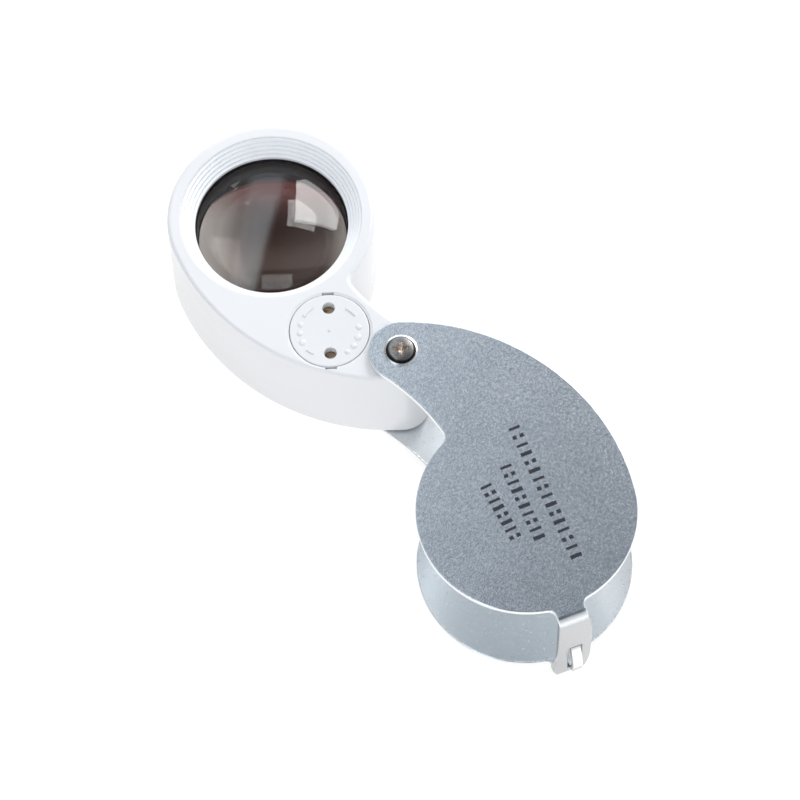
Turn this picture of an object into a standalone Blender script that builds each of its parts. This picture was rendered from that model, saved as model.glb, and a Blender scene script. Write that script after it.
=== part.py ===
"""Folding pocket loupe with a lit lens unit: a bent sheet case and a moulded lens housing that
swings out of it about one pivot.  Metres, +Z up.  The origin is the centre of the round case's
underside, and +Y runs from there to the pivot."""

import math

import bmesh
import bpy

MM = 0.001

# ---- driving dimensions -------------------------------------------------------------------
# case: one sheet bent round a strip at its far end
CASE_HEIGHT = 22.0 * MM
SHEET = 1.0 * MM
CASE_ROUND_R = 17.4 * MM
CASE_REACH = 34.0 * MM            # round centre to pivot
CASE_NECK_R = 5.2 * MM
CASE_BULGE_R = 37.0 * MM          # long convex side
CASE_NOTCH_R = 37.4 * MM          # long hollow side
CASE_NOTCH_Y = 19.8 * MM          # where the neck is narrowest
CORNER_R = 1.9 * MM

STRIP_ANGLE = math.radians(255.7)  # direction of the strip, seen from the round centre
STRIP_HALF = 2.4 * MM
STRIP_OUT = 20.0 * MM              # strip's outer face from the round centre
BEND_R = 0.8 * MM                  # middle of the sheet
ROOT_FILLET = 1.2 * MM

LOOP_TOP = 10.6 * MM
LOOP_BOTTOM = 2.5 * MM
LOOP_MIDDLE = 0.5 * MM             # off the middle of the strip
LOOP_WIDTH = 1.6 * MM
LOOP_BULGE = 1.7 * MM

# lens unit: sizes from its own pivot axis
OPEN_ANGLE = math.radians(175.2)   # how far the lens unit is swung out of the case
PLAY = 0.3 * MM                    # between the lens unit and each side of the case
GAP = 0.12 * MM                    # between pieces that touch
HOUSING_ROUND_R = 16.9 * MM
HOUSING_REACH = 32.85 * MM
HOUSING_NECK_R = 4.5 * MM
HOUSING_BULGE_R = 38.0 * MM
HOUSING_NOTCH_R = 37.4 * MM
HOUSING_NOTCH_Y = 19.0 * MM
HOUSING_WALL = 1.4 * MM
HOUSING_EDGE_R = 0.7 * MM
HOUSING_LOW = SHEET + PLAY
HOUSING_TOP = CASE_HEIGHT - SHEET - PLAY
FLOOR_TOP = HOUSING_LOW + HOUSING_WALL

MOUTH_R = 14.73 * MM
MOUTH_STEPS = 5
MOUTH_DEPTH = 2.85 * MM
LIP_R = 12.5 * MM
LIP_DEPTH = 3.5 * MM
CHAMBER_R = 15.5 * MM
CHAMBER_WALL = 1.2 * MM

LENS_R = 12.9 * MM
LENS_CURVE_R = 31.0 * MM
LENS_EDGE = (14.4 * MM, 16.4 * MM)
EYE_R = 11.6 * MM                  # inside of the barrel's skirt
LED_RING_R = 13.9 * MM
LED_R = 1.5 * MM
LED_SPREAD = math.radians(25.0)
LED_TOP = 7.0 * MM
LEAD_ACROSS = (0.9 * MM, 2.4 * MM)   # where each LED's wire passes into the neck

CELL_POS = (6.0 * MM, -10.7 * MM)
CELL_R = 5.8 * MM
CELL_HEIGHT = 3.05 * MM
CELL_COUNT = 3
WELL_R = 6.1 * MM
WELL_FLOOR = (6.0 * MM, 7.2 * MM)
COVER_R = 6.4 * MM
COVER_THICK = 1.3 * MM
COVER_RIM_R = 6.9 * MM
LUG_R = 7.05 * MM
LUG_TURN = math.radians(45.0)
SPANNER_ANGLE = math.radians(52.6)
SPANNER_SPAN = 8.05 * MM
SPANNER_HOLE_R = 1.0 * MM

TUBE_R = 2.0 * MM
TUBE_BORE_R = 1.25 * MM
PIVOT_BORE_R = 2.1 * MM
PIVOT_BOSS_R = 4.2 * MM
SCREW_R = 1.1 * MM
HEAD_R = 2.45 * MM
HEAD_RISE = 0.85 * MM
WASHER_R = 2.75 * MM
FRICTION_WASHER_R = 3.6 * MM
WASHER_THICK = 0.5 * MM

BOARD_TOP = 4.2 * MM
BOARD_THICK = 1.0 * MM
LEAF_ACROSS = 0.8 * MM              # where the switch leaf stands on the board

FINE = 48
MEDIUM = 32
SMALL = 20


# ---- scene and materials ------------------------------------------------------------------
def empty_scene():
    for old in list(bpy.data.objects):
        bpy.data.objects.remove(old, do_unlink=True)


def new_collection(name):
    group = bpy.data.collections.new(name)
    bpy.context.scene.collection.children.link(group)
    return group


def finish(name, colour, roughness, metallic=0.0, alpha=1.0):
    mat = bpy.data.materials.new(name)
    mat.use_nodes = True
    shader = mat.node_tree.nodes["Principled BSDF"]
    shader.inputs["Base Color"].default_value = (*colour, 1.0)
    shader.inputs["Roughness"].default_value = roughness
    shader.inputs["Metallic"].default_value = metallic
    shader.inputs["Alpha"].default_value = alpha
    return mat


empty_scene()
PARTS = new_collection("folding_loupe")
CUTTERS = new_collection("cutters")


# ---- modelling helpers --------------------------------------------------------------------
def add_object(name, mesh, parent=None, cutter=False):
    obj = bpy.data.objects.new(name, mesh)
    (CUTTERS if cutter else PARTS).objects.link(obj)
    obj.parent = parent
    if cutter:
        obj.hide_render = True
        obj.display_type = "WIRE"
    return obj


def bm_object(name, bm, parent=None, cutter=False):
    mesh = bpy.data.meshes.new(name)
    bm.to_mesh(mesh)
    bm.free()
    return add_object(name, mesh, parent, cutter)


def shade(obj, mat):
    obj.data.materials.clear()
    obj.data.materials.append(mat)
    obj.data.shade_smooth()
    obj.data.set_sharp_from_angle(angle=math.radians(35))
    return obj


def boolean(obj, tool, operation):
    mod = obj.modifiers.new(operation.lower(), "BOOLEAN")
    mod.operation = operation
    mod.solver = "EXACT"
    mod.object = tool
    return obj


def cut(obj, *tools):
    for tool in tools:
        boolean(obj, tool, "DIFFERENCE")


def join(obj, *tools):
    for tool in tools:
        boolean(obj, tool, "UNION")


def cylinder(name, radius, low, high, at=(0, 0), sides=MEDIUM, parent=None, cutter=False, top_radius=None):
    bm = bmesh.new()
    upper = radius if top_radius is None else top_radius
    bmesh.ops.create_cone(bm, cap_ends=True, segments=sides, radius1=radius, radius2=upper, depth=high - low)
    bmesh.ops.translate(bm, verts=bm.verts, vec=(0, 0, (low + high) / 2))
    obj = bm_object(name, bm, parent, cutter)
    obj.location = (at[0], at[1], 0)
    return obj


def block(name, size, centre, turn=0.0, parent=None, cutter=False):
    bm = bmesh.new()
    bmesh.ops.create_cube(bm, size=1.0)
    bmesh.ops.scale(bm, verts=bm.verts, vec=size)
    obj = bm_object(name, bm, parent, cutter)
    obj.location = centre
    obj.rotation_euler.z = turn
    return obj


def turned(name, profile, at=(0, 0), sides=MEDIUM, closed=True, parent=None, cutter=False):
    """Turn a profile of (radius, height) points, outer side first and top to bottom."""
    mesh = bpy.data.meshes.new(name)
    last = len(profile) if closed else len(profile) - 1
    edges = [(i, (i + 1) % len(profile)) for i in range(last)]
    mesh.from_pydata([(r, 0, z) for r, z in profile], edges, [])
    obj = add_object(name, mesh, parent, cutter)
    obj.location = (at[0], at[1], 0)
    mod = obj.modifiers.new("turn", "SCREW")
    mod.steps = mod.render_steps = sides
    mod.use_merge_vertices = True
    mod.merge_threshold = 0.00001
    mod.use_smooth_shade = True
    return obj


def arc(centre, radius, start, end, step=math.radians(7.5)):
    count = max(2, math.ceil(abs(end - start) / step))
    angles = [start + (end - start) * i / count for i in range(count + 1)]
    return [(centre[0] + radius * math.cos(a), centre[1] + radius * math.sin(a)) for a in angles]


def circles_meet(c0, r0, c1, r1):
    """The upper of the two points where two circles meet."""
    dx, dy = c1[0] - c0[0], c1[1] - c0[1]
    gap = math.hypot(dx, dy)
    along = (r0 * r0 - r1 * r1 + gap * gap) / (2 * gap)
    across = math.sqrt(r0 * r0 - along * along)
    found = [(c0[0] + (along * dx - s * across * dy) / gap, c0[1] + (along * dy + s * across * dx) / gap)
             for s in (1, -1)]
    return max(found, key=lambda p: p[1])


def comma_outline(round_r, neck_r, reach, bulge_r, notch_r, notch_y, inset=0.0, tab_end=None):
    """A round end joined to a small neck end by a long convex side and a long hollow side.
    The round centre is at (0, 0), the neck centre at (0, reach).  A tab for the strip is optional."""
    bulge_y = ((bulge_r - round_r) ** 2 - (bulge_r - neck_r) ** 2 + reach ** 2) / (2 * reach)
    bulge_c = (-math.sqrt((bulge_r - round_r) ** 2 - bulge_y ** 2), bulge_y)
    notch_c = (-math.sqrt((notch_r + neck_r) ** 2 - (reach - notch_y) ** 2), notch_y)
    corner_c = circles_meet((0, 0), round_r + CORNER_R, notch_c, notch_r - CORNER_R)
    round_start = math.atan2(-bulge_c[1], -bulge_c[0])
    neck_start = math.atan2(reach - bulge_c[1], -bulge_c[0])
    neck_end = math.atan2(notch_y - reach, notch_c[0]) + 2 * math.pi
    notch_end = math.atan2(corner_c[1] - notch_y, corner_c[0] - notch_c[0])
    round_angle = math.atan2(corner_c[1], corner_c[0])

    points = arc(bulge_c, bulge_r - inset, round_start, neck_start, math.radians(5))
    points += arc((0, reach), neck_r - inset, neck_start, neck_end, math.radians(12))[1:]
    points += arc(notch_c, notch_r + inset, neck_end - math.pi, notch_end, math.radians(4))[1:]
    points += arc(corner_c, CORNER_R + inset, notch_end, round_angle - math.pi, math.radians(25))[1:]
    round_end = round_start + 2 * math.pi
    if tab_end is None:
        points += arc((0, 0), round_r - inset, round_angle, round_end)[1:-1]
        return points
    half = STRIP_HALF + ROOT_FILLET
    span = math.asin(half / (round_r + ROOT_FILLET))
    root = math.sqrt((round_r + ROOT_FILLET) ** 2 - half ** 2)
    points += arc((0, 0), round_r, round_angle, STRIP_ANGLE - span)[1:]
    fillet = arc((-half, root), ROOT_FILLET, math.atan2(-root, half), 0.0, math.radians(20))[1:]
    side = fillet + [(-STRIP_HALF, tab_end)]
    points += [strip_point(s, n) for s, n in side]
    points += [strip_point(-s, n) for s, n in reversed(side)]
    points += arc((0, 0), round_r, STRIP_ANGLE + span, round_end)[:-1]
    return points


def strip_point(across, out):
    """A point given across the strip and outwards from the case's round centre."""
    c, s = math.cos(STRIP_ANGLE), math.sin(STRIP_ANGLE)
    return (-s * across + c * out, c * across + s * out)


def mesh_from_curve(name, curve, parent, cutter, location=(0, 0, 0)):
    guide = bpy.data.objects.new(name + "_curve", curve)
    CUTTERS.objects.link(guide)
    bpy.context.view_layer.update()
    graph = bpy.context.evaluated_depsgraph_get()
    mesh = bpy.data.meshes.new_from_object(guide.evaluated_get(graph))
    bpy.data.objects.remove(guide, do_unlink=True)
    bm = bmesh.new()
    bm.from_mesh(mesh)
    bmesh.ops.remove_doubles(bm, verts=bm.verts, dist=0.000002)
    bm.to_mesh(mesh)
    bm.free()
    obj = add_object(name, mesh, parent, cutter)
    obj.location = location
    return obj


def slab(name, outline, low, high, shift=(0, 0), parent=None, cutter=False):
    """A flat outline as a filled 2D curve, extruded between two heights."""
    curve = bpy.data.curves.new(name, "CURVE")
    curve.dimensions = "2D"
    curve.fill_mode = "BOTH"
    curve.extrude = (high - low) / 2
    spline = curve.splines.new("POLY")
    spline.points.add(len(outline) - 1)
    for point, (x, y) in zip(spline.points, outline):
        point.co = (x + shift[0], y + shift[1], 0, 1)
    spline.use_cyclic_u = True
    return mesh_from_curve(name, curve, parent, cutter, (0, 0, (low + high) / 2))


def wire(name, points, radius, parent=None, resolution=1):
    curve = bpy.data.curves.new(name, "CURVE")
    curve.dimensions = "3D"
    curve.bevel_depth = radius
    curve.bevel_resolution = resolution
    curve.use_fill_caps = True
    spline = curve.splines.new("POLY")
    spline.points.add(len(points) - 1)
    for point, co in zip(spline.points, points):
        point.co = (*co, 1)
    return mesh_from_curve(name, curve, parent, False)


def leaf(name, path, low, high, thickness, parent=None):
    """A flat spring: a path seen from above, raised to a strip and given its thickness."""
    bm = bmesh.new()
    verts = [bm.verts.new((x, y, low)) for x, y in path]
    edges = [bm.edges.new(pair) for pair in zip(verts, verts[1:])]
    grown = bmesh.ops.extrude_edge_only(bm, edges=edges)
    upper = [e for e in grown["geom"] if isinstance(e, bmesh.types.BMVert)]
    bmesh.ops.translate(bm, verts=upper, vec=(0, 0, high - low))
    obj = bm_object(name, bm, parent)
    mod = obj.modifiers.new("thickness", "SOLIDIFY")
    mod.thickness = thickness
    mod.offset = 0
    return obj


# ---- frames of the moving pieces ----------------------------------------------------------
def empty_frame(name, location, turn=0.0, parent=None):
    frame = bpy.data.objects.new(name, None)
    PARTS.objects.link(frame)
    frame.parent = parent
    frame.location = location
    frame.rotation_euler.z = turn
    return frame


SWING = empty_frame("lens_unit_pivot", (0, CASE_REACH, 0), -OPEN_ANGLE)
COVER_AXIS = empty_frame("battery_cover_axis", (*CELL_POS, 0), SPANNER_ANGLE, SWING)
LENS_AT = (0, -HOUSING_REACH)


# ---- case ---------------------------------------------------------------------------------
def strip_half_widths(height):
    """The strip is wider on one side at mid height, by the loop, and on the other low down."""
    right = 0.8 * MM * max(0.0, 1 - ((height - 11.0 * MM) / (9.5 * MM)) ** 4)
    left = 0.8 * MM * math.exp(-((height - 3.6 * MM) / (1.8 * MM)) ** 2)
    return STRIP_HALF + left, STRIP_HALF + right


def make_case_shell(mat):
    """Both plates and the strip as one folded middle surface, then thickened."""
    middle = SHEET / 2
    strip_n = STRIP_OUT - middle
    outline = comma_outline(CASE_ROUND_R, CASE_NECK_R, CASE_REACH, CASE_BULGE_R, CASE_NOTCH_R,
                            CASE_NOTCH_Y, tab_end=strip_n - BEND_R)
    bm = bmesh.new()
    plates = []
    for height in (middle, CASE_HEIGHT - middle):
        verts = [bm.verts.new((x, y, height)) for x, y in outline]
        bm.faces.new(verts)
        plates.append(verts)
    tab = outline.index(strip_point(-STRIP_HALF, strip_n - BEND_R))
    path = [(strip_n - BEND_R + BEND_R * math.sin(a), middle + BEND_R * (1 - math.cos(a)))
            for a in (math.radians(d) for d in (30, 60, 90))]
    path += [(strip_n, z * MM) for z in (2.4, 3.6, 5.0, 7.0, 9.0, 11.0, 13.0, 16.0)]
    path += [(n, CASE_HEIGHT - z) for n, z in reversed(path[:3])]
    last = (plates[0][tab], plates[0][tab + 1])
    for out, height in path:
        left, right = strip_half_widths(height)
        row = tuple(bm.verts.new((*strip_point(s, out), height)) for s in (-left, right))
        bm.faces.new((last[0], last[1], row[1], row[0]))
        last = row
    bm.faces.new((last[0], last[1], plates[1][tab + 1], plates[1][tab]))
    bmesh.ops.recalc_face_normals(bm, faces=bm.faces)
    shell = bm_object("case_shell", bm)
    mod = shell.modifiers.new("sheet", "SOLIDIFY")
    mod.thickness = SHEET
    mod.offset = 0
    mod.use_even_offset = True

    across, out = LOOP_MIDDLE, STRIP_OUT - middle
    slot = block("loop_slot", (LOOP_WIDTH + 0.5 * MM, 3 * MM, LOOP_TOP - LOOP_BOTTOM - 1.2 * MM),
                 (*strip_point(across, out), (LOOP_TOP + LOOP_BOTTOM) / 2), STRIP_ANGLE + math.pi / 2, cutter=True)
    cut(shell, slot)
    join(shell, make_loop_strap())
    pivot_hole = cylinder("top_plate_hole", SCREW_R + 0.25 * MM, 20 * MM, 24 * MM, (0, CASE_REACH), SMALL, cutter=True)
    sink = cylinder("bottom_plate_sink", 2.6 * MM, -0.5 * MM, SHEET + 0.15 * MM, (0, CASE_REACH), SMALL,
                    cutter=True, top_radius=1.3 * MM)
    through = cylinder("bottom_plate_hole", 1.35 * MM, -1 * MM, 2 * MM, (0, CASE_REACH), SMALL, cutter=True)
    cut(shell, pivot_hole, sink, through)
    return shade(shell, mat)


def make_loop_strap():
    """The bowed strap pressed out of the strip, for a lanyard."""
    bm = bmesh.new()
    rows = []
    count = 12
    for i in range(count + 1):
        u = i / count
        height = LOOP_BOTTOM + (LOOP_TOP - LOOP_BOTTOM) * u
        bow = LOOP_BULGE * math.sin(math.pi * u) ** 0.8
        out = STRIP_OUT - SHEET / 2 + bow
        rows.append([bm.verts.new((*strip_point(LOOP_MIDDLE + s * LOOP_WIDTH / 2, out), height)) for s in (-1, 1)])
    for low, high in zip(rows, rows[1:]):
        bm.faces.new((low[0], low[1], high[1], high[0]))
    strap = bm_object("loop_strap", bm, cutter=True)
    mod = strap.modifiers.new("sheet", "SOLIDIFY")
    mod.thickness = SHEET * 0.85
    mod.offset = 0
    mod.use_even_offset = True
    return strap


# ---- pivot --------------------------------------------------------------------------------
def make_pivot(steel, bright, bronze):
    at = (0, CASE_REACH)
    low, high = SHEET + GAP, CASE_HEIGHT - SHEET - GAP
    tube = turned("pivot_tube", [(TUBE_R, high), (TUBE_R, low), (TUBE_BORE_R, low), (TUBE_BORE_R, high)], at)
    flat = block("switch_flat", (3 * MM, 1 * MM, 3.2 * MM), (0, CASE_REACH - TUBE_R - 0.15 * MM, 4.4 * MM), cutter=True)
    cut(tube, flat)
    shade(tube, bright)

    seat = CASE_HEIGHT + 0.05 * MM
    washer_top = seat + 0.2 * MM
    washer = [(WASHER_R, washer_top), (WASHER_R, seat), (SCREW_R + 0.25 * MM, seat), (SCREW_R + 0.25 * MM, washer_top)]
    shade(turned("pivot_head_washer", washer, at), bright)

    head_low, head_top = washer_top + 0.03 * MM, CASE_HEIGHT + HEAD_RISE
    edge = head_top - head_low - 0.1 * MM
    dome = [(HEAD_R - edge + edge * math.cos(a), head_low + 0.1 * MM + edge * math.sin(a))
            for a in (math.radians(d) for d in (90, 60, 30, 0))]
    profile = [(0, head_top)] + dome + [(HEAD_R, head_low), (SCREW_R, head_low), (SCREW_R, 12 * MM), (0, 11.4 * MM)]
    screw = turned("pivot_screw_top", profile, at, closed=False)
    for turn in (0, math.pi / 2):
        cross = block(f"cross_{turn:.0f}", (2.3 * MM, 0.55 * MM, 0.8 * MM), (*at, head_top), turn + 0.3, cutter=True)
        cut(screw, cross)
    shade(screw, steel)

    sink = [(0, 9 * MM), (SCREW_R, 8.4 * MM), (SCREW_R, 1.1 * MM), (2.1 * MM, 0.1 * MM), (0, 0.1 * MM)]
    lower = turned("pivot_screw_bottom", sink, at, closed=False)
    slot = block("screw_slot", (2.4 * MM, 0.5 * MM, 0.6 * MM), (*at, 0.15 * MM), 0.6, cutter=True)
    cut(lower, slot)
    shade(lower, steel)

    for name, base in (("friction_washer_lower", low), ("friction_washer_upper", high - WASHER_THICK)):
        top = base + WASHER_THICK
        ring = [(FRICTION_WASHER_R, top), (FRICTION_WASHER_R, base), (PIVOT_BORE_R, base), (PIVOT_BORE_R, top)]
        shade(turned(name, ring, at), bronze)


# ---- lens housing -------------------------------------------------------------------------
def housing_outline(inset):
    return comma_outline(HOUSING_ROUND_R, HOUSING_NECK_R, HOUSING_REACH, HOUSING_BULGE_R, HOUSING_NOTCH_R,
                         HOUSING_NOTCH_Y, inset=inset)


def round_rims(obj, radius):
    """Round the edges where the flat top and bottom meet the side wall."""
    bm = bmesh.new()
    bm.from_mesh(obj.data)
    rim = [e for e in bm.edges if abs(e.verts[0].co.z - e.verts[1].co.z) < 0.00001
           and any(abs(f.normal.z) < 0.5 for f in e.link_faces)
           and any(abs(f.normal.z) > 0.5 for f in e.link_faces)]
    bmesh.ops.bevel(bm, geom=rim, offset=radius, segments=3, profile=0.5, affect="EDGES", material=-1)
    bm.to_mesh(obj.data)
    bm.free()


def mouth_profile():
    """Stepped mouth round the lens, then the lip that holds the barrel."""
    above = HOUSING_TOP + 1 * MM
    rise = (MOUTH_R - LIP_R) / MOUTH_STEPS
    drop = MOUTH_DEPTH / MOUTH_STEPS
    profile = [(0, above), (MOUTH_R, above)]
    for i in range(MOUTH_STEPS):
        radius, height = MOUTH_R - rise * i, HOUSING_TOP - drop * (i + 1)
        profile += [(radius, height), (radius - rise, height)]
    low = HOUSING_TOP - LIP_DEPTH - 1 * MM
    return profile + [(LIP_R, low), (0, low)]


def make_housing(mat):
    shift = LENS_AT
    shell = slab("lens_housing", housing_outline(0), HOUSING_LOW, HOUSING_TOP, shift, SWING)
    round_rims(shell, HOUSING_EDGE_R)
    below = HOUSING_LOW - 1 * MM
    lip_low = HOUSING_TOP - LIP_DEPTH

    neck = slab("neck_space", housing_outline(HOUSING_WALL), below, WELL_FLOOR[0], shift, SWING, cutter=True)
    keep_round = cylinder("keep_round", CHAMBER_R + CHAMBER_WALL, FLOOR_TOP + GAP, 30 * MM, LENS_AT, FINE, SWING, True)
    keep_boss = cylinder("keep_boss", PIVOT_BOSS_R, FLOOR_TOP + GAP, 30 * MM, (0, 0), MEDIUM, SWING, True)
    cut(neck, keep_round, keep_boss)
    chamber = cylinder("lens_chamber", CHAMBER_R, below, lip_low, LENS_AT, FINE, SWING, True)
    mouth = turned("lens_mouth", mouth_profile(), LENS_AT, FINE, False, SWING, True)
    well = cylinder("battery_well", WELL_R, WELL_FLOOR[1], HOUSING_TOP + 1 * MM, CELL_POS, MEDIUM, SWING, True)
    cut(shell, neck, chamber, mouth, well)

    seat_low = HOUSING_TOP - COVER_THICK - GAP
    seat_r = COVER_R + GAP
    chamfer = COVER_RIM_R - seat_r
    seat_top = HOUSING_TOP + 1 * MM
    seat = turned("cover_seat", [(0, seat_top), (COVER_RIM_R, seat_top), (COVER_RIM_R, HOUSING_TOP),
                                 (seat_r, HOUSING_TOP - chamfer), (seat_r, seat_low), (0, seat_low)],
                  CELL_POS, MEDIUM, False, SWING, True)
    groove = cylinder("bayonet_groove", LUG_R + 0.15 * MM, 18.4 * MM, 19.35 * MM, CELL_POS, MEDIUM, SWING, True)
    entry = block("bayonet_entry", (2 * LUG_R + 0.3 * MM, 2.6 * MM, 3 * MM), (*CELL_POS, 20 * MM),
                  SPANNER_ANGLE, SWING, True)
    cut(shell, seat, groove, entry)

    bore = cylinder("pivot_bore", PIVOT_BORE_R, below, 30 * MM, (0, 0), MEDIUM, SWING, True)
    recess = cylinder("washer_recess", FRICTION_WASHER_R + GAP, 20.2 * MM, 30 * MM, (0, 0), MEDIUM, SWING, True)
    lower_recess = cylinder("lower_washer_recess", FRICTION_WASHER_R + GAP, below, HOUSING_LOW + 0.5 * MM, (0, 0),
                            MEDIUM, SWING, True)
    tail = cylinder("spring_tail_hole", 1.2 * MM, 5 * MM, 9 * MM, CELL_POS, SMALL, SWING, True)
    cut(shell, bore, recess, lower_recess, tail)

    to_cell = math.atan2(CELL_POS[1], CELL_POS[0])
    leaf_slot = block("leaf_slot", (2.0 * MM, 3.6 * MM, 4.8 * MM), (0, -3.0 * MM, 3.6 * MM), 0, SWING, True)
    contact_slot = block("contact_slot", (1.6 * MM, 2.4 * MM, 14 * MM), (*from_cell(6.3 * MM), 12 * MM),
                         to_cell, SWING, True)
    lead_slot = block("lead_slot", (5.0 * MM, 3.4 * MM, 4.8 * MM), (2.6 * MM, -16.6 * MM, 3.6 * MM), 0, SWING, True)
    cut(shell, leaf_slot, contact_slot, lead_slot)

    for i, (at, top) in enumerate(BOSSES, 1):
        join(shell, cylinder(f"boss_{i}", 1.5 * MM, FLOOR_TOP + GAP, top, at, SMALL, SWING, True))
        cut(shell, cylinder(f"pilot_{i}", 0.82 * MM, 1 * MM, 6.6 * MM, at, SMALL, SWING, True))
    return shade(shell, mat)


def from_cell(distance):
    """A point on the line from the cells' axis towards the pivot."""
    reach = math.hypot(*CELL_POS)
    keep = 1 - distance / reach
    return (CELL_POS[0] * keep, CELL_POS[1] * keep)


def round_place(radius, angle):
    """A point at a radius and an angle round the lens axis."""
    return (LENS_AT[0] + radius * math.cos(angle), LENS_AT[1] + radius * math.sin(angle))


BOSSES = [(round_place(14.2 * MM, math.radians(215)), 10.4 * MM),
          (round_place(14.2 * MM, math.radians(325)), 10.4 * MM),
          ((5.4 * MM, -3.2 * MM), WELL_FLOOR[0] + 0.4 * MM)]
LED_PLACES = [round_place(LED_RING_R, math.pi / 2 + side * LED_SPREAD) for side in (1, -1)]


def make_base(mat, steel):
    """The floor of the lens unit, held up into the housing by screws."""
    base = slab("housing_base", housing_outline(HOUSING_WALL + GAP), HOUSING_LOW, FLOOR_TOP, LENS_AT, SWING)
    below, above = HOUSING_LOW - 1 * MM, FLOOR_TOP + 1 * MM
    cut(base,
        cylinder("eye_hole", EYE_R, below, above, LENS_AT, FINE, SWING, True),
        cylinder("base_pivot_hole", PIVOT_BORE_R, below, above, (0, 0), MEDIUM, SWING, True),
        cylinder("base_washer_recess", FRICTION_WASHER_R + GAP, below, HOUSING_LOW + 0.5 * MM, (0, 0), MEDIUM,
                 SWING, True))
    for i, at in enumerate(LED_PLACES, 1):
        cut(base, cylinder(f"led_hole_{i}", LED_R + GAP, below, above, at, SMALL, SWING, True))
    for i, (at, _) in enumerate(BOSSES, 1):
        low = HOUSING_LOW + 0.1 * MM
        cut(base,
            cylinder(f"screw_sink_{i}", 1.65 * MM, below, HOUSING_LOW + 1.1 * MM, at, SMALL, SWING, True, 0.85 * MM),
            cylinder(f"screw_hole_{i}", 0.85 * MM, below, above, at, SMALL, SWING, True))
        profile = [(0, 6.3 * MM), (0.7 * MM, 5.8 * MM), (0.7 * MM, low + 0.75 * MM), (1.15 * MM, low), (0, low)]
        screw = turned(f"base_screw_{i}", profile, at, SMALL, False, SWING)
        cut(screw, block(f"base_screw_slot_{i}", (1.5 * MM, 0.35 * MM, 0.5 * MM), (*at, low), i, SWING, True))
        shade(screw, steel)
    return shade(base, mat)


# ---- optics -------------------------------------------------------------------------------
def lens_surface(radius, edge_height, side):
    depth = math.sqrt(LENS_CURVE_R ** 2 - radius ** 2) - math.sqrt(LENS_CURVE_R ** 2 - LENS_R ** 2)
    return edge_height + side * depth


def make_optics(glass, black):
    low, high = LENS_EDGE
    rings = [LENS_R * i / 5 for i in range(6)]
    front = [(r, lens_surface(r, high, 1)) for r in rings]
    back = [(r, lens_surface(r, low, -1)) for r in reversed(rings)]
    shade(turned("lens", front + back, LENS_AT, FINE, False, SWING), glass)

    top = HOUSING_TOP - LIP_DEPTH - GAP
    lip = 12.1 * MM
    seat = LENS_R + GAP
    barrel = [(14.3 * MM, top), (14.3 * MM, 11.0 * MM), (EYE_R + 0.6 * MM, 11.0 * MM),
              (EYE_R + 0.6 * MM, FLOOR_TOP + GAP), (EYE_R, FLOOR_TOP + GAP), (EYE_R, 11.6 * MM), (seat, 11.6 * MM),
              (seat, high + 0.1 * MM), (lip, lens_surface(lip, high, 1) + 0.05 * MM), (lip, top)]
    shade(turned("lens_barrel", barrel, LENS_AT, FINE, True, SWING), black)

    ring_low, ring_top = 12.7 * MM, 14.0 * MM
    ring = [(LENS_R, ring_top), (LENS_R, ring_low), (12.3 * MM, ring_low), (12.3 * MM, ring_top)]
    shade(turned("lens_retaining_ring", ring, LENS_AT, FINE, True, SWING), black)


# ---- battery and light --------------------------------------------------------------------
def make_cover(white, metal):
    low = HOUSING_TOP - COVER_THICK
    cover = cylinder("battery_cover", COVER_R, low, HOUSING_TOP, sides=48, parent=COVER_AXIS)
    neck = cylinder("cover_neck", WELL_R - GAP, 18.55 * MM, low + 0.1 * MM, parent=COVER_AXIS, cutter=True)
    bridge = block("cover_lugs", (2 * LUG_R, 1.6 * MM, 0.6 * MM), (0, 0, 18.9 * MM), LUG_TURN, COVER_AXIS, True)
    hollow = cylinder("cover_hollow", 5.3 * MM, 18 * MM, 19.2 * MM, parent=COVER_AXIS, cutter=True)
    join(cover, neck, bridge)
    cut(cover, hollow)
    for i, side in enumerate((-1, 1), 1):
        at = (side * SPANNER_SPAN / 2, 0)
        cut(cover, cylinder(f"spanner_hole_{i}", SPANNER_HOLE_R, 18 * MM, 22 * MM, at, SMALL, COVER_AXIS, True))
    shade(cover, white)
    plate = cylinder("cover_contact", 5.1 * MM, 18.75 * MM, 19.05 * MM, sides=MEDIUM, parent=COVER_AXIS)
    shade(plate, metal)


def make_cells(mat):
    top = 18.4 * MM
    for i in range(CELL_COUNT):
        low = top - (CELL_HEIGHT + 0.05 * MM) * (i + 1)
        high = low + CELL_HEIGHT
        step = 0.5 * MM
        profile = [(0, high), (CELL_R - 0.2 * MM, high), (CELL_R, high - 0.2 * MM), (CELL_R, low + step),
                   (CELL_R - step, low + step), (CELL_R - step, low), (0, low)]
        shade(turned(f"battery_cell_{i + 1}", profile, CELL_POS, MEDIUM, False, SWING), mat)


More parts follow.
